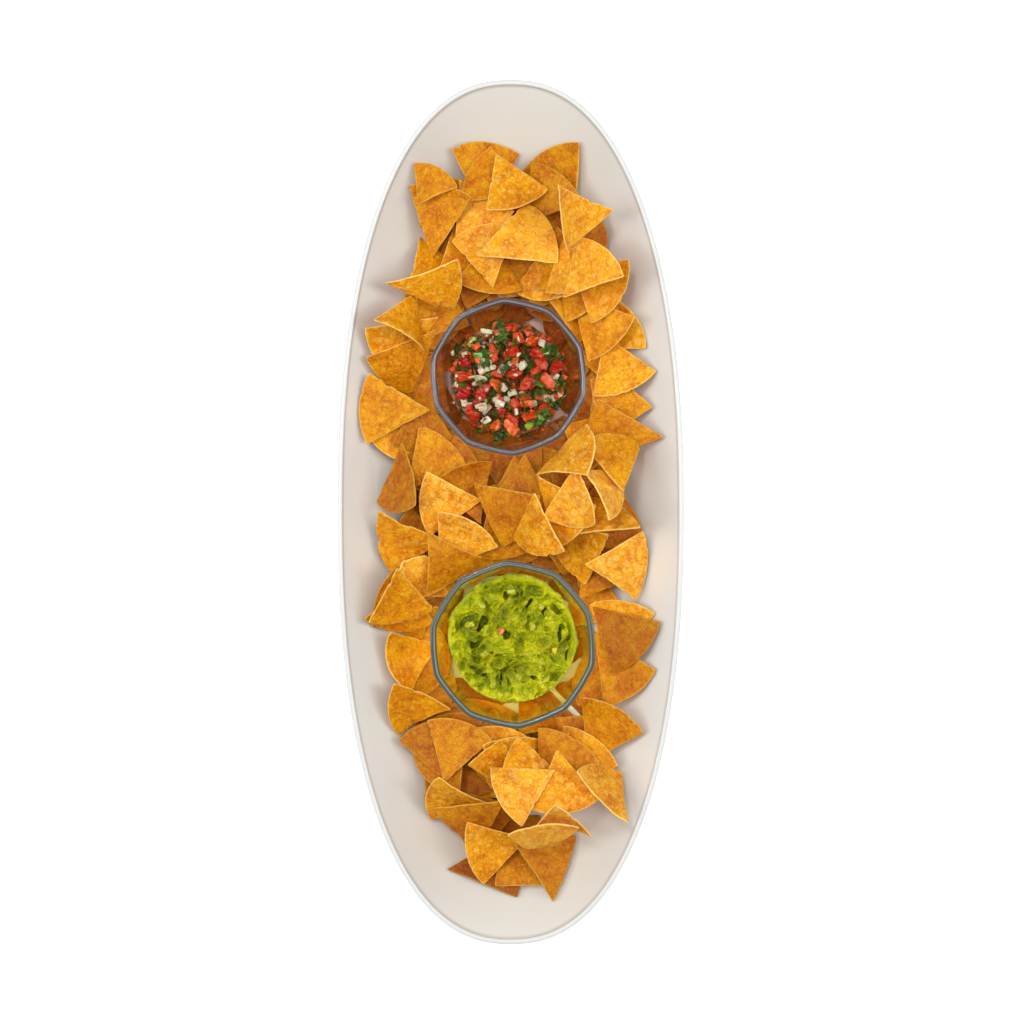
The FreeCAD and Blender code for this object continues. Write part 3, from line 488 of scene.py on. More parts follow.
def build_dish():
    """Rings of the oval outline, from under the middle up the outside, over the lip and down inside."""
    around = 480
    turn = full_turn(around)
    c, s = np.cos(turn), np.sin(turn)
    out = (np.abs(c) ** OUTLINE_POWER + np.abs(s) ** OUTLINE_POWER) ** (-1 / OUTLINE_POWER)
    profile = []  # (half width and length, z, how much of the lip's painted grey shade)
    for k in (0.02, 0.3, 0.6, 0.85):
        profile.append((FLOOR_HALF * k, SKIRT_Z, 0))
    for inset, z in FOOT:
        profile.append((FLOOR_HALF - inset * MM, z * MM, 0))
    top = RIM_Z - LIP_TALL
    outer, inner = LIP_HALF - LIP_SWELL, LIP_HALF - LIP_WIDE
    for share in np.linspace(0.004, 1, 40) ** 1.4:
        profile.append((wall_half(share, BASE_HALF, outer), SKIRT_Z + (top - SKIRT_Z) * share, share**8))
    for k in np.linspace(0, 0.9 * math.pi, 22)[1:]:
        along = math.copysign(abs(math.cos(k)) ** 0.8, math.cos(k)) * LIP_WIDE / 2
        side = 1 - 0.3 * step(2.0, 2.7, k)
        profile.append((LIP_HALF - LIP_WIDE / 2 + along, top + LIP_TALL * math.sin(k) ** 0.8, side))
    inner += 0.3 * MM
    depth = top - 0.7 * MM - FLOOR_Z
    for share in np.linspace(1, 0.0, 46)[:-1] ** 1.6:
        profile.append((wall_half(share, FLOOR_HALF, inner), FLOOR_Z + depth * share, 0))
    for k in (1.0, 0.8, 0.5, 0.25, 0.02):
        profile.append((FLOOR_HALF * k, FLOOR_Z, 0))
    verts, lip_shades = [], []
    for half, z, edge in profile:
        verts.append(np.stack([half[0] * out * c, half[1] * out * s, np.full(around, z)], 1))
        lip_shades.append(np.full(around, float(edge)))
    rings = len(profile)
    verts = np.concatenate([*verts, [[0, 0, SKIRT_Z], [0, 0, FLOOR_Z]]])
    verts[:, :2] += ((DISH_LOW + DISH_HIGH) / 2)[:2]
    n = len(verts) - 2
    tris = np.concatenate([fan(n, 0, around, True), fan(n + 1, (rings - 1) * around, around)])
    dish = make_object("dish_glazed", verts, ring_quads(rings, around), tris,
                       {"edge": np.concatenate([*lip_shades, [0, 0]])})
    dish.data.materials.append(glaze_material())
    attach(dish, DISH)
    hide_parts(DISH)


# ---- Glass bowls ----
BOWL_PROFILE = ((0.0, 0.53), (0.06, 0.575), (0.22, 0.755), (0.52, 0.9), (1.0, 1.0))
BOWL_TURN = math.radians(22)
BOWL_WALL, BOWL_BASE = 3.7 * MM, 4.5 * MM
SIDES = 10
ROUNDING = 0.4  # how far the sides swell towards a circle
CORNER_TURN = math.radians(3.2)  # half the turn over which a corner is rounded


def bowl_centre(node):
    """A bowl's centre, the heights of its foot and rim, and its rim's radius at the corners."""
    low, high = (np.array(c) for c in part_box(node))
    turns = BOWL_TURN + np.arange(SIDES) * 2 * math.pi / SIDES
    rim = (high[0] - low[0]) / (np.cos(turns).max() - np.cos(turns).min())
    return (low + high) / 2, low[2], high[2], rim


def smooth_curve(nodes, count):
    """Points of a Catmull-Rom curve through (z, r) nodes."""
    p = np.array([nodes[0], *nodes, nodes[-1]], float)
    p[0] = 2 * p[1] - p[2]
    p[-1] = 2 * p[-2] - p[-3]
    out = []
    for i in range(1, len(p) - 2):
        for t in np.linspace(0, 1, count, endpoint=False):
            a, b, c, d = p[i - 1 : i + 3]
            out.append(0.5 * (2 * b + (c - a) * t + (2 * a - 5 * b + 4 * c - d) * t**2
                              + (3 * b - a - 3 * c + d) * t**3))
    out.append(p[-2])
    return np.array(out)


def facet(turn):
    """Radius of a ten-sided outline with slightly rounded corners, as a share of its corner radius."""
    wide = 2 * math.pi / SIDES
    total = np.zeros_like(turn)
    offsets = np.linspace(-1, 1, 13) * CORNER_TURN
    for o in offsets:
        within = (turn + o - BOWL_TURN) % wide - wide / 2
        total += math.cos(wide / 2) / np.cos(within)
    return total / len(offsets) * (1 - ROUNDING) + 0.985 * ROUNDING


def build_bowl(node, name, material):
    """Rings of the ten-sided outline, from under the foot up the outside and down inside."""
    centre, low, high, rim = bowl_centre(node)
    tall = high - low
    around = 720
    turn = full_turn(around)
    share = facet(turn)
    outside = smooth_curve([(s * tall, r * rim) for s, r in BOWL_PROFILE], 12)
    inner_nodes = [(BOWL_BASE, BOWL_PROFILE[1][1] * rim - BOWL_WALL - 2 * MM)]
    inner_nodes += [(s * tall, r * rim - BOWL_WALL) for s, r in BOWL_PROFILE[2:]]
    inside = smooth_curve(inner_nodes, 12)
    # height, radius, how much of the lip's painted grey reflection, and how far across the lip from outside
    profile = [(0.0, 0.02 * rim, 0.0, 0.0), (0.0, 0.3 * rim, 0.0, 0.0), (0.0, 0.5 * rim, 0.0, 0.0)]
    round_at = 1.5 * MM
    for z, r in outside:
        if 0 < z < tall - round_at:
            profile.append((z, r, 0.0, 0.0))
    outer_edge, inner_edge = rim, rim - BOWL_WALL
    middle, half = (outer_edge + inner_edge) / 2, BOWL_WALL / 2
    for k in np.linspace(0, math.pi, 21):
        bulge = math.copysign(abs(math.cos(k)) ** 0.75, math.cos(k))
        across = (1 - bulge) / 2
        profile.append((tall - round_at + round_at * math.sin(k) ** 0.75, middle + half * bulge, 1.0, across))
    for z, r in inside[::-1]:
        if z < tall - round_at:
            profile.append((z, r, 0.0, 1.0))
    for k in (0.93, 0.7, 0.4, 0.02):
        profile.append((BOWL_BASE, inner_nodes[0][1] * k, 0.0, 1.0))
    verts, rims, bands, films = [], [], [], []
    for z, r, at_rim, across in profile:
        bands.append(np.full(around, across))
        soft = 1 - step(0.02, 0.12, z / tall)  # the foot is round
        reach = r * (share * (1 - soft) + np.mean(share) * soft)
        verts.append(np.stack([reach * np.cos(turn), reach * np.sin(turn), np.full(around, z)], 1))
        # the top of the wall takes part of the rim's painted grey reflection
        near = 0.75 * step(tall - 4 * MM, tall - 1.5 * MM, z)
        rims.append(np.full(around, max(at_rim, float(near))))
        films.append(np.full(around, float(step(0.0, 0.12, z / tall) * step(1.0, 0.9, z / tall))))
    verts = np.concatenate(verts)
    rings = len(profile)
    quads = ring_quads(rings, around)
    n = len(verts)
    tris = np.concatenate([fan(n, 0, around, True), fan(n + 1, (rings - 1) * around, around)])
    verts = np.concatenate([verts, [[0, 0, 0], [0, 0, BOWL_BASE]]])
    verts += np.array([centre[0], centre[1], low])
    named = {"rim": rims, "band": bands, "film": films}
    floats = {key: np.concatenate([*values, [0, 0]]) for key, values in named.items()}
    made = make_object(name, verts, quads, tris, floats)
    made.data.materials.append(material)
    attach(made, node)
    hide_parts(node)
    return made


# ---- Tortilla chips ----
SHOWN_SPACING, BED_SPACING = 1.05 * MM, 2.6 * MM  # between a chip's points
CHIP_SEED = 1000
SURE_SHARE = 0.965  # further out than this share of the outline a ray could miss the CAD solid
RAY_START = 80 * MM
CHIP_THICK, EDGE_ROUND = 1.3, 0.8  # millimetres
# heights around which the chips' tone carries painted light above and painted shade below
MIDDLE_OF_HEAP, HEIGHT_SHADE_SPREAD = 38, 34  # millimetres of height
UNDERSIDE_SHIFT = 37.0  # so that a chip's underside has patches of its own


def hull_2d(points):
    """The convex outline of points in the plane, anticlockwise."""
    pts = points[np.lexsort((points[:, 1], points[:, 0]))]

    def half(seq):
        out = []
        for p in seq:
            while len(out) > 1:
                (ax, ay), (bx, by) = out[-2], out[-1]
                if (bx - ax) * (p[1] - ay) - (by - ay) * (p[0] - ax) > 1e-12:
                    break
                out.pop()
            out.append((p[0], p[1]))
        return out[:-1]

    return np.array(half(pts) + half(pts[::-1]))


def resample(closed, spacing):
    """Evenly spaced points along a closed outline."""
    loop = np.concatenate([closed, closed[:1]])
    lengths = np.concatenate([[0], np.cumsum(np.linalg.norm(np.diff(loop, axis=0), axis=1))])
    count = max(24, int(lengths[-1] / spacing))
    at = np.linspace(0, lengths[-1], count, endpoint=False)
    return np.stack([np.interp(at, lengths, loop[:, k]) for k in (0, 1)], 1)


def own_axes(corners, triangles):
    """The middle of a curved sheet, and its axes: across, along and up."""
    tri = corners[triangles]
    normals = np.cross(tri[:, 1] - tri[:, 0], tri[:, 2] - tri[:, 0])
    areas = np.linalg.norm(normals, axis=1)
    middles = tri.mean(1)
    centre = (middles * areas[:, None]).sum(0) / areas.sum()
    spread = ((middles - centre).T * areas) @ (middles - centre)
    _, axes = np.linalg.eigh(spread)
    up = axes[:, 0] * (1 if axes[2, 0] >= 0 else -1)
    across = axes[:, 2]
    return centre, np.stack([across, np.cross(up, across), up])


def ragged(outline, shift):
    """An outline with small waves and a few nicks in it."""
    place = np.column_stack([outline / MM, np.zeros(len(outline))]) + shift
    waves = 0.3 * fractal(place, 7.0, 5, 3) + 0.14 * smooth_noise(place, 1.3, 9)
    nicks = np.clip(fractal(place, 8.0, 21, 2) - 0.42, 0, 1) * 4.5
    reach = np.linalg.norm(outline, axis=1)
    return outline * (1 + (waves - nicks - 0.25) * MM / reach)[:, None]


def middle_level(local, triangles, flat, ring_share, shares, around):
    """Height of the solid's middle surface at each point. Near the edge, where a ray could miss the
    solid, the surface is carried on at the slope that it has further in."""
    tree = BVHTree.FromPolygons([Vector(v) for v in local], [tuple(map(int, t)) for t in triangles])
    inwards = np.where(ring_share > SURE_SHARE, SURE_SHARE / np.maximum(ring_share, 1e-9), 1.0)
    sampled = flat * inwards[:, None]
    level = np.full(len(flat), np.nan)
    for i, (x, y) in enumerate(sampled):
        high = tree.ray_cast(Vector((x, y, RAY_START)), Vector((0, 0, -1)))[0]
        low = tree.ray_cast(Vector((x, y, -RAY_START)), Vector((0, 0, 1)))[0]
        if high is not None and low is not None:
            level[i] = (high.z + low.z) / 2
    missed = np.isnan(level)
    hit = np.flatnonzero(~missed)
    for i in np.flatnonzero(missed):
        level[i] = level[hit[np.argmin(((sampled[hit] - sampled[i]) ** 2).sum(1))]]
    rings = level[:-1].reshape(len(shares), around)
    inner = int(np.argmax(np.array(shares) < SURE_SHARE))
    slope = (rings[inner] - rings[inner + 2]) / (shares[inner] - shares[inner + 2])
    for i in range(inner):
        rings[i] = rings[inner] + slope * (shares[i] - shares[inner])
    return np.append(rings.ravel(), level[-1])


def build_chip(pile, corners, triangles, number, spacing):
    """One chip on the surface of its CAD solid, with blisters, a wavy edge, a painted highlight along that
    edge, and its own tone: partly random, partly painted shade by its height in the heap.
    """
    centre, axes = own_axes(corners, triangles)
    local = (corners - centre) @ axes.T
    chance = np.random.default_rng(CHIP_SEED + number)
    shift = chance.uniform(-400, 400, 3)
    outline = resample(hull_2d(local[:, :2]), spacing)
    outline = (outline * 2 + np.roll(outline, 1, 0) + np.roll(outline, -1, 0)) / 4
    around = len(outline)
    widest = np.linalg.norm(outline, axis=1).max()
    outline = ragged(outline, shift)

    fine = spacing < 2 * MM
    inwards = [0.0, 0.12, 0.4, 0.8, 1.4] if fine else [0.0, 0.3, 1.0]
    shares = [1 - d * MM / widest for d in inwards]
    steps = max(4, int(widest * shares[-1] / spacing))
    shares += list(np.linspace(shares[-1], 0.0, steps + 1)[1:-1])
    flat = np.concatenate([outline * k for k in shares] + [[[0, 0]]])
    ring_share = np.concatenate([np.full(around, k) for k in shares] + [[0.0]])
    from_edge = (1 - ring_share) * np.append(np.tile(np.linalg.norm(outline, axis=1), len(shares)), 0.0)
    level = middle_level(local, triangles, flat, ring_share, shares, around)

    spot = np.column_stack([flat / MM, np.zeros(len(flat))]) + shift
    shade_by_height = (centre[2] / MM - MIDDLE_OF_HEAP) / HEIGHT_SHADE_SPREAD  # painted light and shade: chips on top are painted paler, chips deep in the heap darker
    tone = float(np.clip(chance.normal(0, 0.42) + shade_by_height, -1, 1))
    warp = np.stack([smooth_noise(spot, 4.0, 41), smooth_noise(spot, 4.0, 42), np.zeros(len(spot))], 1)
    puff = blobs(spot + 1.3 * warp, 7.0, 40, 0.8, 0.28, 0.66) * (0.55 + 0.45 * smooth_noise(spot, 16.0, 48))
    puff = np.maximum(puff, 0.6 * blobs(spot + 0.8 * warp, 4.0, 43, 0.4, 0.25, 0.6))
    wave = 1.0 * smooth_noise(spot, 19.0, 44) + 0.4 * smooth_noise(spot, 8.0, 45)
    fade = step(0.0, 3.0, from_edge / MM)
    thick = CHIP_THICK * np.sqrt(1 - (1 - np.clip(from_edge / MM / EDGE_ROUND, 0, 1)) ** 2)
    rough = 0.1 * smooth_noise(spot, 2.4, 46) * fade
    top = level + MM * (thick / 2 + wave + 0.6 * puff * (0.35 + 0.65 * fade) + rough - 0.1)
    under = level - MM * (thick / 2 - wave + 0.18 * puff * fade + rough + 0.05)
    inner_count = len(flat)
    keep = np.arange(around, inner_count)  # the underside shares the edge ring
    verts = np.concatenate([np.column_stack([flat, top]), np.column_stack([flat[keep], under[keep]])])
    verts = verts @ axes + centre
    quads = ring_quads(len(shares), around)
    tris = np.roll(fan(inner_count - 1, (len(shares) - 1) * around, around), -1, 1)
    lower = np.where(quads < around, quads, quads - around + inner_count)[:, ::-1]
    lower_tris = np.where(tris < around, tris, tris - around + inner_count)[:, ::-1]
    doubled = np.concatenate([np.arange(inner_count), keep])
    own = spot[doubled]
    own[inner_count:, 2] += UNDERSIDE_SHIFT
    floats = {
        "tone": np.full(len(verts), tone),
        "puff": puff[doubled],
        # where the shader paints a highlight along the chip's edge
        "rim": 1 - step(0.0, 1.1, from_edge[doubled] / MM),
    }
    pile.add(verts, np.concatenate([quads, lower]), np.concatenate([tris, lower_tris]), floats, {"flat": own})


def build_chips(material):
    """The chips of each CAD node as one piece."""
    number = 0
    for node in sorted(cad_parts):
        if "chip" not in node:
            continue
        spacing = BED_SPACING if node.startswith("bed") else SHOWN_SPACING
        pile = Pile()
        for corners, triangles in islands(node):
            number += 1
            build_chip(pile, corners, triangles, number, spacing)
        made = pile.finish(f"{node}_fried")
        made.data.materials.append(material)
        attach(made, DISH)
        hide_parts(node)


# ---- Cut vegetables ----
def cube_grid(n):
    """A cube from -1 to 1 with n by n quads a side, its points shared."""
    points, quads, index = [], [], {}

    def point(p):
        key = tuple(np.round(p, 6))
        if key not in index:
            index[key] = len(points)
            points.append(p)
        return index[key]

    t = np.linspace(-1, 1, n + 1)
    for axis in range(3):
        for side in (-1, 1):
            for i in range(n):
                for j in range(n):
                    quad = []
                    for a, b in ((i, j), (i + 1, j), (i + 1, j + 1), (i, j + 1)):
                        p = np.zeros(3)
                        p[axis], p[(axis + 1) % 3], p[(axis + 2) % 3] = side, t[a], t[b]
                        quad.append(point(p))
                    quads.append(quad if side > 0 else quad[::-1])
    return np.array(points), np.array(quads)


CUBE = cube_grid(12)


def block_of(corners, triangles):
    """Centre, axes and half sizes of a box-shaped solid."""
    tri = corners[triangles]
    normals = np.cross(tri[:, 1] - tri[:, 0], tri[:, 2] - tri[:, 0])
    normals /= np.linalg.norm(normals, axis=1)[:, None]
    first = normals[0]
    second = normals[np.argmin(np.abs(normals @ first))]
    axes = np.stack([first, second, np.cross(first, second)])
    local = corners @ axes.T
    low, high = local.min(0), local.max(0)
    half = (high - low) / 2
    order = np.argsort(-half)
    return ((low + high) / 2) @ axes, axes[order], half[order]


# first seed, roundness, lumps, growth, bend, sides that may be the skin, corners cut off
CUTS = {
    "tomato": (100, 0.36, 0.3, 1.15, 0.0, (-1, 1), 3),
    "onion": (300, 0.26, 0.12, 1.14, 0.5, (), 3),
    "jalapeno": (500, 0.25, 0.08, 1.05, 0.6, (1,), 0),
    "avocado": (600, 0.5, 0.35, 1.1, 0.0, (), 5),
    "crumb": (0, 0.45, 0.25, 1.0, 0.0, (), 4),
}
BLOCK_SEED, LEAF_SEED = 5000, 7000


def soft_block(kind, pile, centre, axes, half, number):
    """A knife-cut piece: a box with worn edges, uneven faces and perhaps one skin side."""
    first, roundness, lumps, grow, bend, skin_sides, cuts = CUTS[kind]
    chance = np.random.default_rng(BLOCK_SEED + first + number)
    p, quads = CUBE
    unit = p / np.linalg.norm(p, axis=1)[:, None]
    shape = p * (1 - roundness) + unit * roundness * 1.12
    shape = shape * (1 - 0.1 * roundness)
    for _ in range(cuts):
        way = chance.normal(size=3)
        way /= np.linalg.norm(way)
        over = np.clip(shape @ way - chance.uniform(0.62, 0.95), 0, None)
        shape = shape - over[:, None] * way
    shift = chance.uniform(-300, 300, 3)
    taper = 1 + chance.uniform(-0.22, 0.22) * p[:, [0]]
    shape = shape * np.concatenate([np.ones_like(taper), taper, taper], 1)
    skew = chance.uniform(-0.2, 0.2, 2)
    shape[:, 0] += skew[0] * p[:, 1]
    shape[:, 1] += skew[1] * p[:, 2]
    size = half * grow
    spot = shape * size / MM
    shape = shape * (1 + lumps * fractal(spot + shift, 3.2, 60, 3)[:, None])
    local = shape * size
    if bend:
        local[:, 2] -= bend * size[2] * (p[:, 0] ** 2 - 0.3)
    verts = local @ axes + centre
    skin = np.zeros(len(p))
    if skin_sides:
        skin = step(0.55, 0.85, p[:, 2] * skin_sides[number % len(skin_sides)])
    pile.add(verts, quads, (), {"tone": np.full(len(p), chance.uniform(-1, 1)), "skin": skin},
             {"flat": spot + shift})


NEARLY_ROUND = 6.28  # radians


def cilantro_leaf(pile, centre, axes, half, number):
    """A torn leaf: lobed, crinkled and thin."""
    chance = np.random.default_rng(LEAF_SEED + number)
    around, rings = 72, 9
    turn = full_turn(around)
    lobes = chance.choice([3, 5])
    start = chance.uniform(0, NEARLY_ROUND)
    edge = 0.72 + 0.24 * np.cos(lobes * (turn - start)) + 0.1 * np.cos(3 * lobes * (turn - start) + 1.0)
    edge += 0.05 * np.cos(17 * turn + start)
    shares = np.linspace(1, 0.08, rings)
    flat = np.concatenate([np.stack([np.cos(turn), np.sin(turn)], 1) * edge[:, None] * k for k in shares])
    flat = np.concatenate([flat, [[0, 0]]])
    spot = np.column_stack([flat * half[:2] / MM, np.zeros(len(flat))]) + chance.uniform(-300, 300, 3)
    curl = chance.uniform(-0.9, 0.9, 2)
    z = curl[0] * flat[:, 0] ** 2 + curl[1] * flat[:, 1] ** 2
    z = z * half[1] * 0.7 + 0.24 * half[1] * fractal(spot, 0.8 * half[1] / MM, 70, 3)
    thick = 0.14 * MM
    count = len(flat)
    local_top = np.column_stack([flat * half[:2], z + thick])
    local_under = np.column_stack([flat * half[:2], z - thick])
    verts = np.concatenate([local_top, local_under]) @ axes + centre
    quads = ring_quads(rings, around)
    j = np.arange(around)
    tris = fan(count - 1, (rings - 1) * around, around)
    side = np.stack([j, count + j, count + (j + 1) % around, (j + 1) % around], 1)
    pile.add(verts, np.concatenate([quads, quads[:, ::-1] + count, side]),
             np.concatenate([tris, tris[:, ::-1] + count]),
             {"tone": np.full(2 * count, chance.uniform(-1, 1)), "skin": np.zeros(2 * count)},
             {"flat": np.concatenate([spot, spot + 5])})


def build_cuts(node, body, material, make):
    """The small solids of a CAD node as one piece, each shaped by make."""
    pile = Pile()
    for number, (corners, triangles) in enumerate(islands(node)):
        make(pile, *block_of(corners, triangles), number)
    made = pile.finish(f"{node}_cut")
    made.data.materials.append(material)
    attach(made, body)
    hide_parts(node)
    return made


def cut_like(kind):
    """A maker of pieces of one kind."""
    return lambda *piece: soft_block(kind, *piece)


# ---- Dips ----
def inside_radius(z, tall, rim):
    """Radius of the largest circle inside a bowl at height z above its foot."""
    share = z / tall
    corner = np.interp(share, [s for s, _ in BOWL_PROFILE], [r for _, r in BOWL_PROFILE]) * rim - BOWL_WALL
    return corner * math.cos(math.pi / SIDES)


def dome_object(name, node, body, radius, skirt, height, spacing):
    """A dip: a disc of points whose height is a function of the place, closed below by a skirt."""
    centre = (np.array(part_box(node)[0]) + np.array(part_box(node)[1])) / 2
    around = int(2 * math.pi * radius / spacing)
    turn = full_turn(around)
    rings = int(radius / spacing)
    shares = np.linspace(1, 0.01, rings)
    flat = np.concatenate([np.stack([np.cos(turn), np.sin(turn)], 1) * radius * k for k in shares])
    flat = np.concatenate([flat, [[0, 0]]])
    moved, z, depth = height(flat)
    top = np.column_stack([moved, z])
    below = []
    for z_low, r_low in skirt:
        below.append(np.stack([np.cos(turn) * r_low, np.sin(turn) * r_low, np.full(around, z_low)], 1))
    count = len(top)
    verts = np.concatenate([top, *below, [[0, 0, skirt[-1][0]]]])
    quads = [ring_quads(rings, around)]
    j = np.arange(around)
    previous = j
    for k in range(len(skirt)):
        now = count + k * around + j
        quads.append(np.stack([previous, now, np.roll(now, -1), np.roll(previous, -1)], 1))
        previous = now
    tris = np.concatenate([fan(count - 1, (rings - 1) * around, around),
                           fan(len(verts) - 1, previous[0], around, True)])
    verts[:, :2] += centre[:2]
    depth = np.concatenate([depth, np.full(len(verts) - count, 0.5)])
    made = make_object(name, verts, np.concatenate(quads), tris, {"depth": depth}, {"flat": verts / MM})
    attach(made, body)
    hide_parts(node)
    return made


def skirt_inside(low, tall, rim, heights):
    """The side and underside of a dip, just inside the bowl's wall, as (z, radius) of rings."""
    return [(low + z * MM, inside_radius(z * MM, tall, rim) - 0.9 * MM) for z in heights]


def around_edge(angle, seed, octaves, gain):
    """Noise along the edge of a dip, the same from the middle outwards."""
    ring = np.column_stack([14 * np.cos(angle), 14 * np.sin(angle), np.zeros(len(angle))])
    return fractal(ring, 5.0, seed, octaves, gain)


def wall_height(radius, tall, rim):
    """How high above the foot a bowl's inside is as wide as radius."""
    z = np.linspace(BOWL_BASE, tall, 200)
    return np.interp(radius, [inside_radius(k, tall, rim) for k in z], z)


GUAC_LEVEL, SALSA_LEVEL = 19.5 * MM, 17.5 * MM  # where the dips meet the glass, above the foot
SWIRL = np.array([[0.6, -0.8, 0.0], [0.8, 0.6, 0.0], [0.0, 0.0, 1.0]])  # a turn across the first folds


def build_guacamole(material):
    _, low, high, rim = bowl_centre(GUAC)
    tall = high - low
    radius = inside_radius(GUAC_LEVEL, tall, rim) + 2.6 * MM

    def height(flat):
        angle = np.arctan2(flat[:, 1], flat[:, 0])
        uneven = 0.955 + 0.05 * around_edge(angle, 79, 4, 0.6) + 0.07 * np.sin(angle)
        flat = flat * uneven[:, None]
        p = np.column_stack([flat / MM, np.zeros(len(flat))])
        near = np.linalg.norm(flat, axis=1) / (radius * uneven)
        warp = 9.0 * np.stack([fractal(p, 22.0, 80, 3), fractal(p, 22.0, 81, 3), 0 * near], 1)
        q = p + warp
        folds = ridged(q, 25.0, 82, 2, 0.45)
        tongues = ridged(q @ SWIRL * (1.0, 1.7, 1.0), 12.0, 89, 3, 0.5)
        lumps = fractal(q, 8.0, 83, 4, 0.6)
        chunks = blobs(q, 6.0, 84, 0.55, 0.2, 0.42)
        pits = np.clip(fractal(q @ SWIRL, 7.0, 85, 2) - 0.43, 0, 1) * 4.0
        rough = 9.0 * (folds - 0.6) + 6.0 * (tongues - 0.6) + 4.2 * lumps + 1.2 * chunks
        rough += 1.5 * fractal(p, 2.6, 86, 4, 0.6) - 6.0 * np.clip(pits, 0, 1)
        inner = step(1.0, 0.92, near)
        dome = 10.5 * (1 - near**2.6)
        z = GUAC_LEVEL + MM * (dome + rough * (0.6 + 0.4 * inner) + 1.2 * (1 - inner) - 1.0)
        reach = np.linalg.norm(flat, axis=1)
        z = np.maximum(z, wall_height(reach, tall, rim) + 0.5 * MM)
        slide = 1.6 * MM * np.stack([fractal(p, 5.0, 87, 3), fractal(p, 5.0, 88, 3)], 1) * inner[:, None]
        # the third value, low in the hollows and high on the crests, sets the mash's painted shade and light
        return flat + slide, low + z, np.clip(0.5 + 0.055 * rough, 0, 1)

    skirt = skirt_inside(low, tall, rim, (18.0, 13.0, 9.0, 6.5, 4.9))
    made = dome_object("guacamole_mash", "guacamole", GUAC, radius, skirt, height, 0.42 * MM)
    made.data.materials.append(material)


def build_salsa_mass(material):
    _, low, high, rim = bowl_centre(SALSA)
    tall = high - low
    radius = inside_radius(SALSA_LEVEL, tall, rim) + 2.0 * MM

    def height(flat):
        angle = np.arctan2(flat[:, 1], flat[:, 0])
        flat = flat * (0.95 + 0.05 * around_edge(angle, 92, 3, 0.5))[:, None]
        p = np.column_stack([flat / MM, np.zeros(len(flat))])
        near = np.linalg.norm(flat, axis=1) / radius
        lumps = 2.0 * fractal(p, 7.0, 90, 4, 0.6) + 1.6 * blobs(p, 5.0, 91, 0.8, 0.3, 0.5)
        z = SALSA_LEVEL + MM * (2.6 * (1 - near**2) + lumps - 1.0)
        z = np.maximum(z, wall_height(np.linalg.norm(flat, axis=1), tall, rim) + 0.4 * MM)
        return flat, low + z, np.clip(0.5 + 0.1 * lumps, 0, 1)

    skirt = skirt_inside(low, tall, rim, (15.0, 10.0, 6.5, 4.9))
    made = dome_object("salsa_mass", "salsa_juice", SALSA, radius, skirt, height, 0.6 * MM)
    made.data.materials.append(material)
    return made


def surface_of(objects):
    """A tree for finding where things dropped on these objects land."""
    verts, faces = [], []
    for o in objects:
        first = len(verts)
        verts += [v.co.copy() for v in o.data.vertices]
        faces += [[first + k for k in f.vertices] for f in o.data.polygons]
    return BVHTree.FromPolygons(verts, faces)


def strew(pile, tree, make, count, seed, reach, sizes):
    """Drops small pieces over the salsa, each lying on what is under it."""
    centre = bowl_centre(SALSA)[0]
    chance = np.random.default_rng(seed)
    for number in range(count):
        out, around = reach * math.sqrt(chance.random()), chance.uniform(0, 2 * math.pi)
        x, y = centre[0] + out * math.cos(around), centre[1] + out * math.sin(around)
        place, normal, _, _ = tree.ray_cast(Vector((x, y, 0.2)), Vector((0, 0, -1)))
        spin = chance.uniform(0, 2 * math.pi)
        size = np.array(sizes) * chance.uniform(0.6, 1.25, 3) * MM
        if place is None:
            continue
        up = np.array(normal) * 0.75 + np.array([0, 0, 0.5]) + chance.normal(0, 0.15, 3)
        up /= np.linalg.norm(up)
        side = np.cross(up, [math.cos(spin), math.sin(spin), 0.0])
        side /= np.linalg.norm(side)
        axes = np.stack([np.cross(side, up), side, up])
        make(pile, np.array(place) + up * size[2] * 0.5, axes, size, seed * 10 + number)


STREWN_REACH = 44.5 * MM


def build_small_bits(under, kinds):
    """Shreds of leaf and crumbs of tomato and onion between the larger pieces of the salsa."""
    tree = surface_of(under)
    for name, slot, material, make, count, seed, sizes in kinds:
        pile = Pile()
        strew(pile, tree, make, count, seed, STREWN_REACH, sizes)
        made = pile.finish(name)
        made.data.materials.append(material)
        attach(made, SALSA)


# ---- Stage ----
def build_stage():
    far, z = 6.0, -0.2 * MM
    corners = [(-far, -far, z), (far, -far, z), (far, far, z), (-far, far, z)]
    floor = make_object("floor", corners, [[0, 1, 2, 3]])
    s = Shader("floor_white")
    s.set(Base_Color=(0.93, 0.93, 0.93), Roughness=0.9, Specular_IOR_Level=0.0)
    s.set(Emission_Color=(1.0, 1.0, 1.0), Emission_Strength=0.5)
    floor.data.materials.append(s.material)

    world = bpy.data.worlds.new("studio")
    bpy.context.scene.world = world
    world.use_nodes = True
    sky = world.node_tree.nodes["Background"]
    sky.inputs["Color"].default_value = (1.0, 1.0, 1.0, 1)
    sky.inputs["Strength"].default_value = 0.22

    aim = Vector((0, 0, 0.03))
    for name, place, size, power, colour in (
        ("overhead", (0, 0.1, 2.3), (2.6, 0.4), 21, (1.0, 0.985, 0.96)),
        ("key", (-0.4, 0.7, 2.2), (0.35, 0.35), 10, (1.0, 0.98, 0.95)),
        ("side_left", (-1.6, 0, 1.75), (0.6, 1.2), 14, (1.0, 0.985, 0.97)),
        ("side_right", (1.6, 0, 1.75), (0.6, 1.2), 13, (1.0, 0.985, 0.97)),
    ):
        data = bpy.data.lights.new(name, "AREA")
        data.shape = "RECTANGLE"
        data.size, data.size_y = size
        data.energy = power
        data.color = colour
        made = bpy.data.objects.new(name, data)
        bpy.context.scene.collection.objects.link(made)
        made.location = place
        made.rotation_euler = (aim - Vector(place)).to_track_quat("-Z", "Y").to_euler()


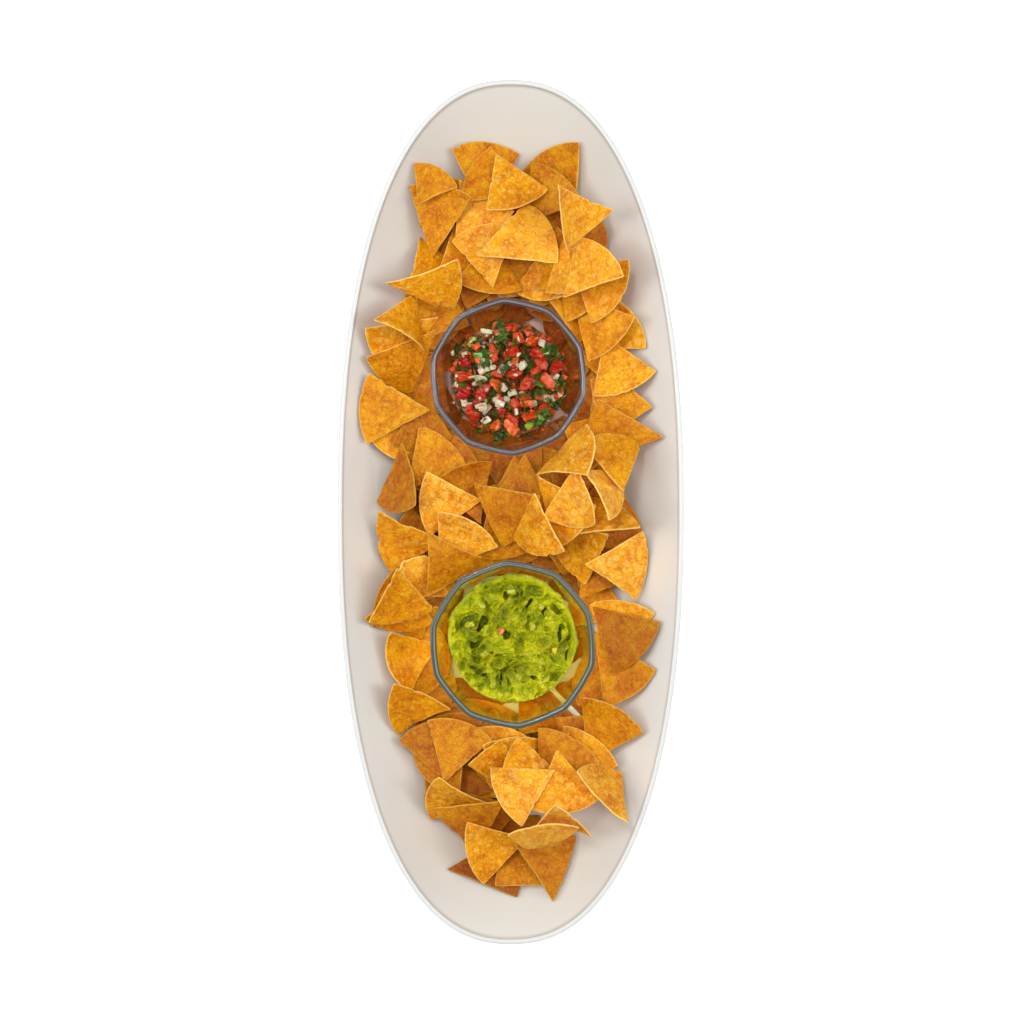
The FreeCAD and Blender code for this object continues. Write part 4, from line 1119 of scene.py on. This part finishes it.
def build_camera():
    data = bpy.data.cameras.new("camera")
    camera = bpy.data.objects.new("camera", data)
    bpy.context.scene.collection.objects.link(camera)
    bpy.context.scene.camera = camera
    seen = 0.7178  # width of the picture at the rim's height
    above = 1.5
    data.sensor_width = 36
    data.lens = 36 * above / seen
    data.clip_start, data.clip_end = 0.1, 20
    camera.location = (0.001, 0.0, RIM_Z + above)
    camera.rotation_euler = (0, 0, 0)  # straight down
    view = bpy.context.scene.view_settings
    view.view_transform = "Standard"
    view.look = "None"


def main():
    build_dish()
    # the third colour of each glass is its rim's painted grey reflection
    glass = glass_material("glass_salsa", (0.97, 0.96, 0.97), (0.17, 0.14, 0.165), (0.6, 0.45, 0.42))
    salsa_bowl = build_bowl(SALSA, "salsa_bowl_glass", glass)
    glass = glass_material("glass_guacamole", (0.97, 0.985, 0.95), (0.15, 0.2, 0.16), (0.91, 0.79, 0.3))
    build_bowl(GUAC, "guacamole_bowl_glass", glass)
    build_chips(tortilla_material())

    juice = food_material("salsa_mass", juice_colour, 0.32, 0.1, coat=0.15, bump=0.5, grain=0.5)
    tomato = food_material("tomato", tomato_colour, 0.32, 0.45, (1.0, 0.3, 0.12), 2.5 * MM, coat=0.12)
    onion = food_material("onion", onion_colour, 0.28, 0.5, (0.9, 0.8, 0.6), coat=0.2)
    cilantro = food_material("cilantro", cilantro_colour, 0.5, 0.05, (0.3, 0.6, 0.1), 0.3 * MM, coat=0.05)
    jalapeno = food_material("jalapeno", jalapeno_colour, 0.18, 0.2, (0.4, 0.8, 0.1), 1 * MM,
                             coat=0.5, bump=0.1)
    mass = build_salsa_mass(juice)
    pieces = [
        build_cuts("tomato_dice", SALSA, tomato, cut_like("tomato")),
        build_cuts("onion_dice", SALSA, onion, cut_like("onion")),
        build_cuts("cilantro_leaves", SALSA, cilantro, cilantro_leaf),
        build_cuts("jalapeno_slices", SALSA, jalapeno, cut_like("jalapeno")),
    ]
    build_small_bits([mass, salsa_bowl, *pieces], (
        ("tomato_crumbs", "tomato", tomato, cut_like("crumb"), 46, 31, (2.4, 1.9, 1.3)),
        ("onion_crumbs", "onion", onion, cut_like("crumb"), 34, 32, (1.9, 1.4, 1.0)),
        ("cilantro_shreds", "cilantro", cilantro, cilantro_leaf, 105, 33, (5.2, 3.8, 1.0)),
    ))

    mash = food_material("guacamole_mash", guacamole_colour, 0.42, 0.05, (0.7, 0.8, 0.05), 1 * MM,
                         coat=0.0, bump=0.8, grain=0.6)
    build_guacamole(mash)
    avocado = food_material("avocado", avocado_colour, 0.3, 0.2, (0.8, 0.8, 0.1))
    build_cuts("avocado_chunks", GUAC, avocado, cut_like("avocado"))
    orange = food_material("orange_bit", orange_colour)
    build_cuts("guacamole_tomato_bits", GUAC, orange, cut_like("tomato"))
    build_stage()
    build_camera()


main()
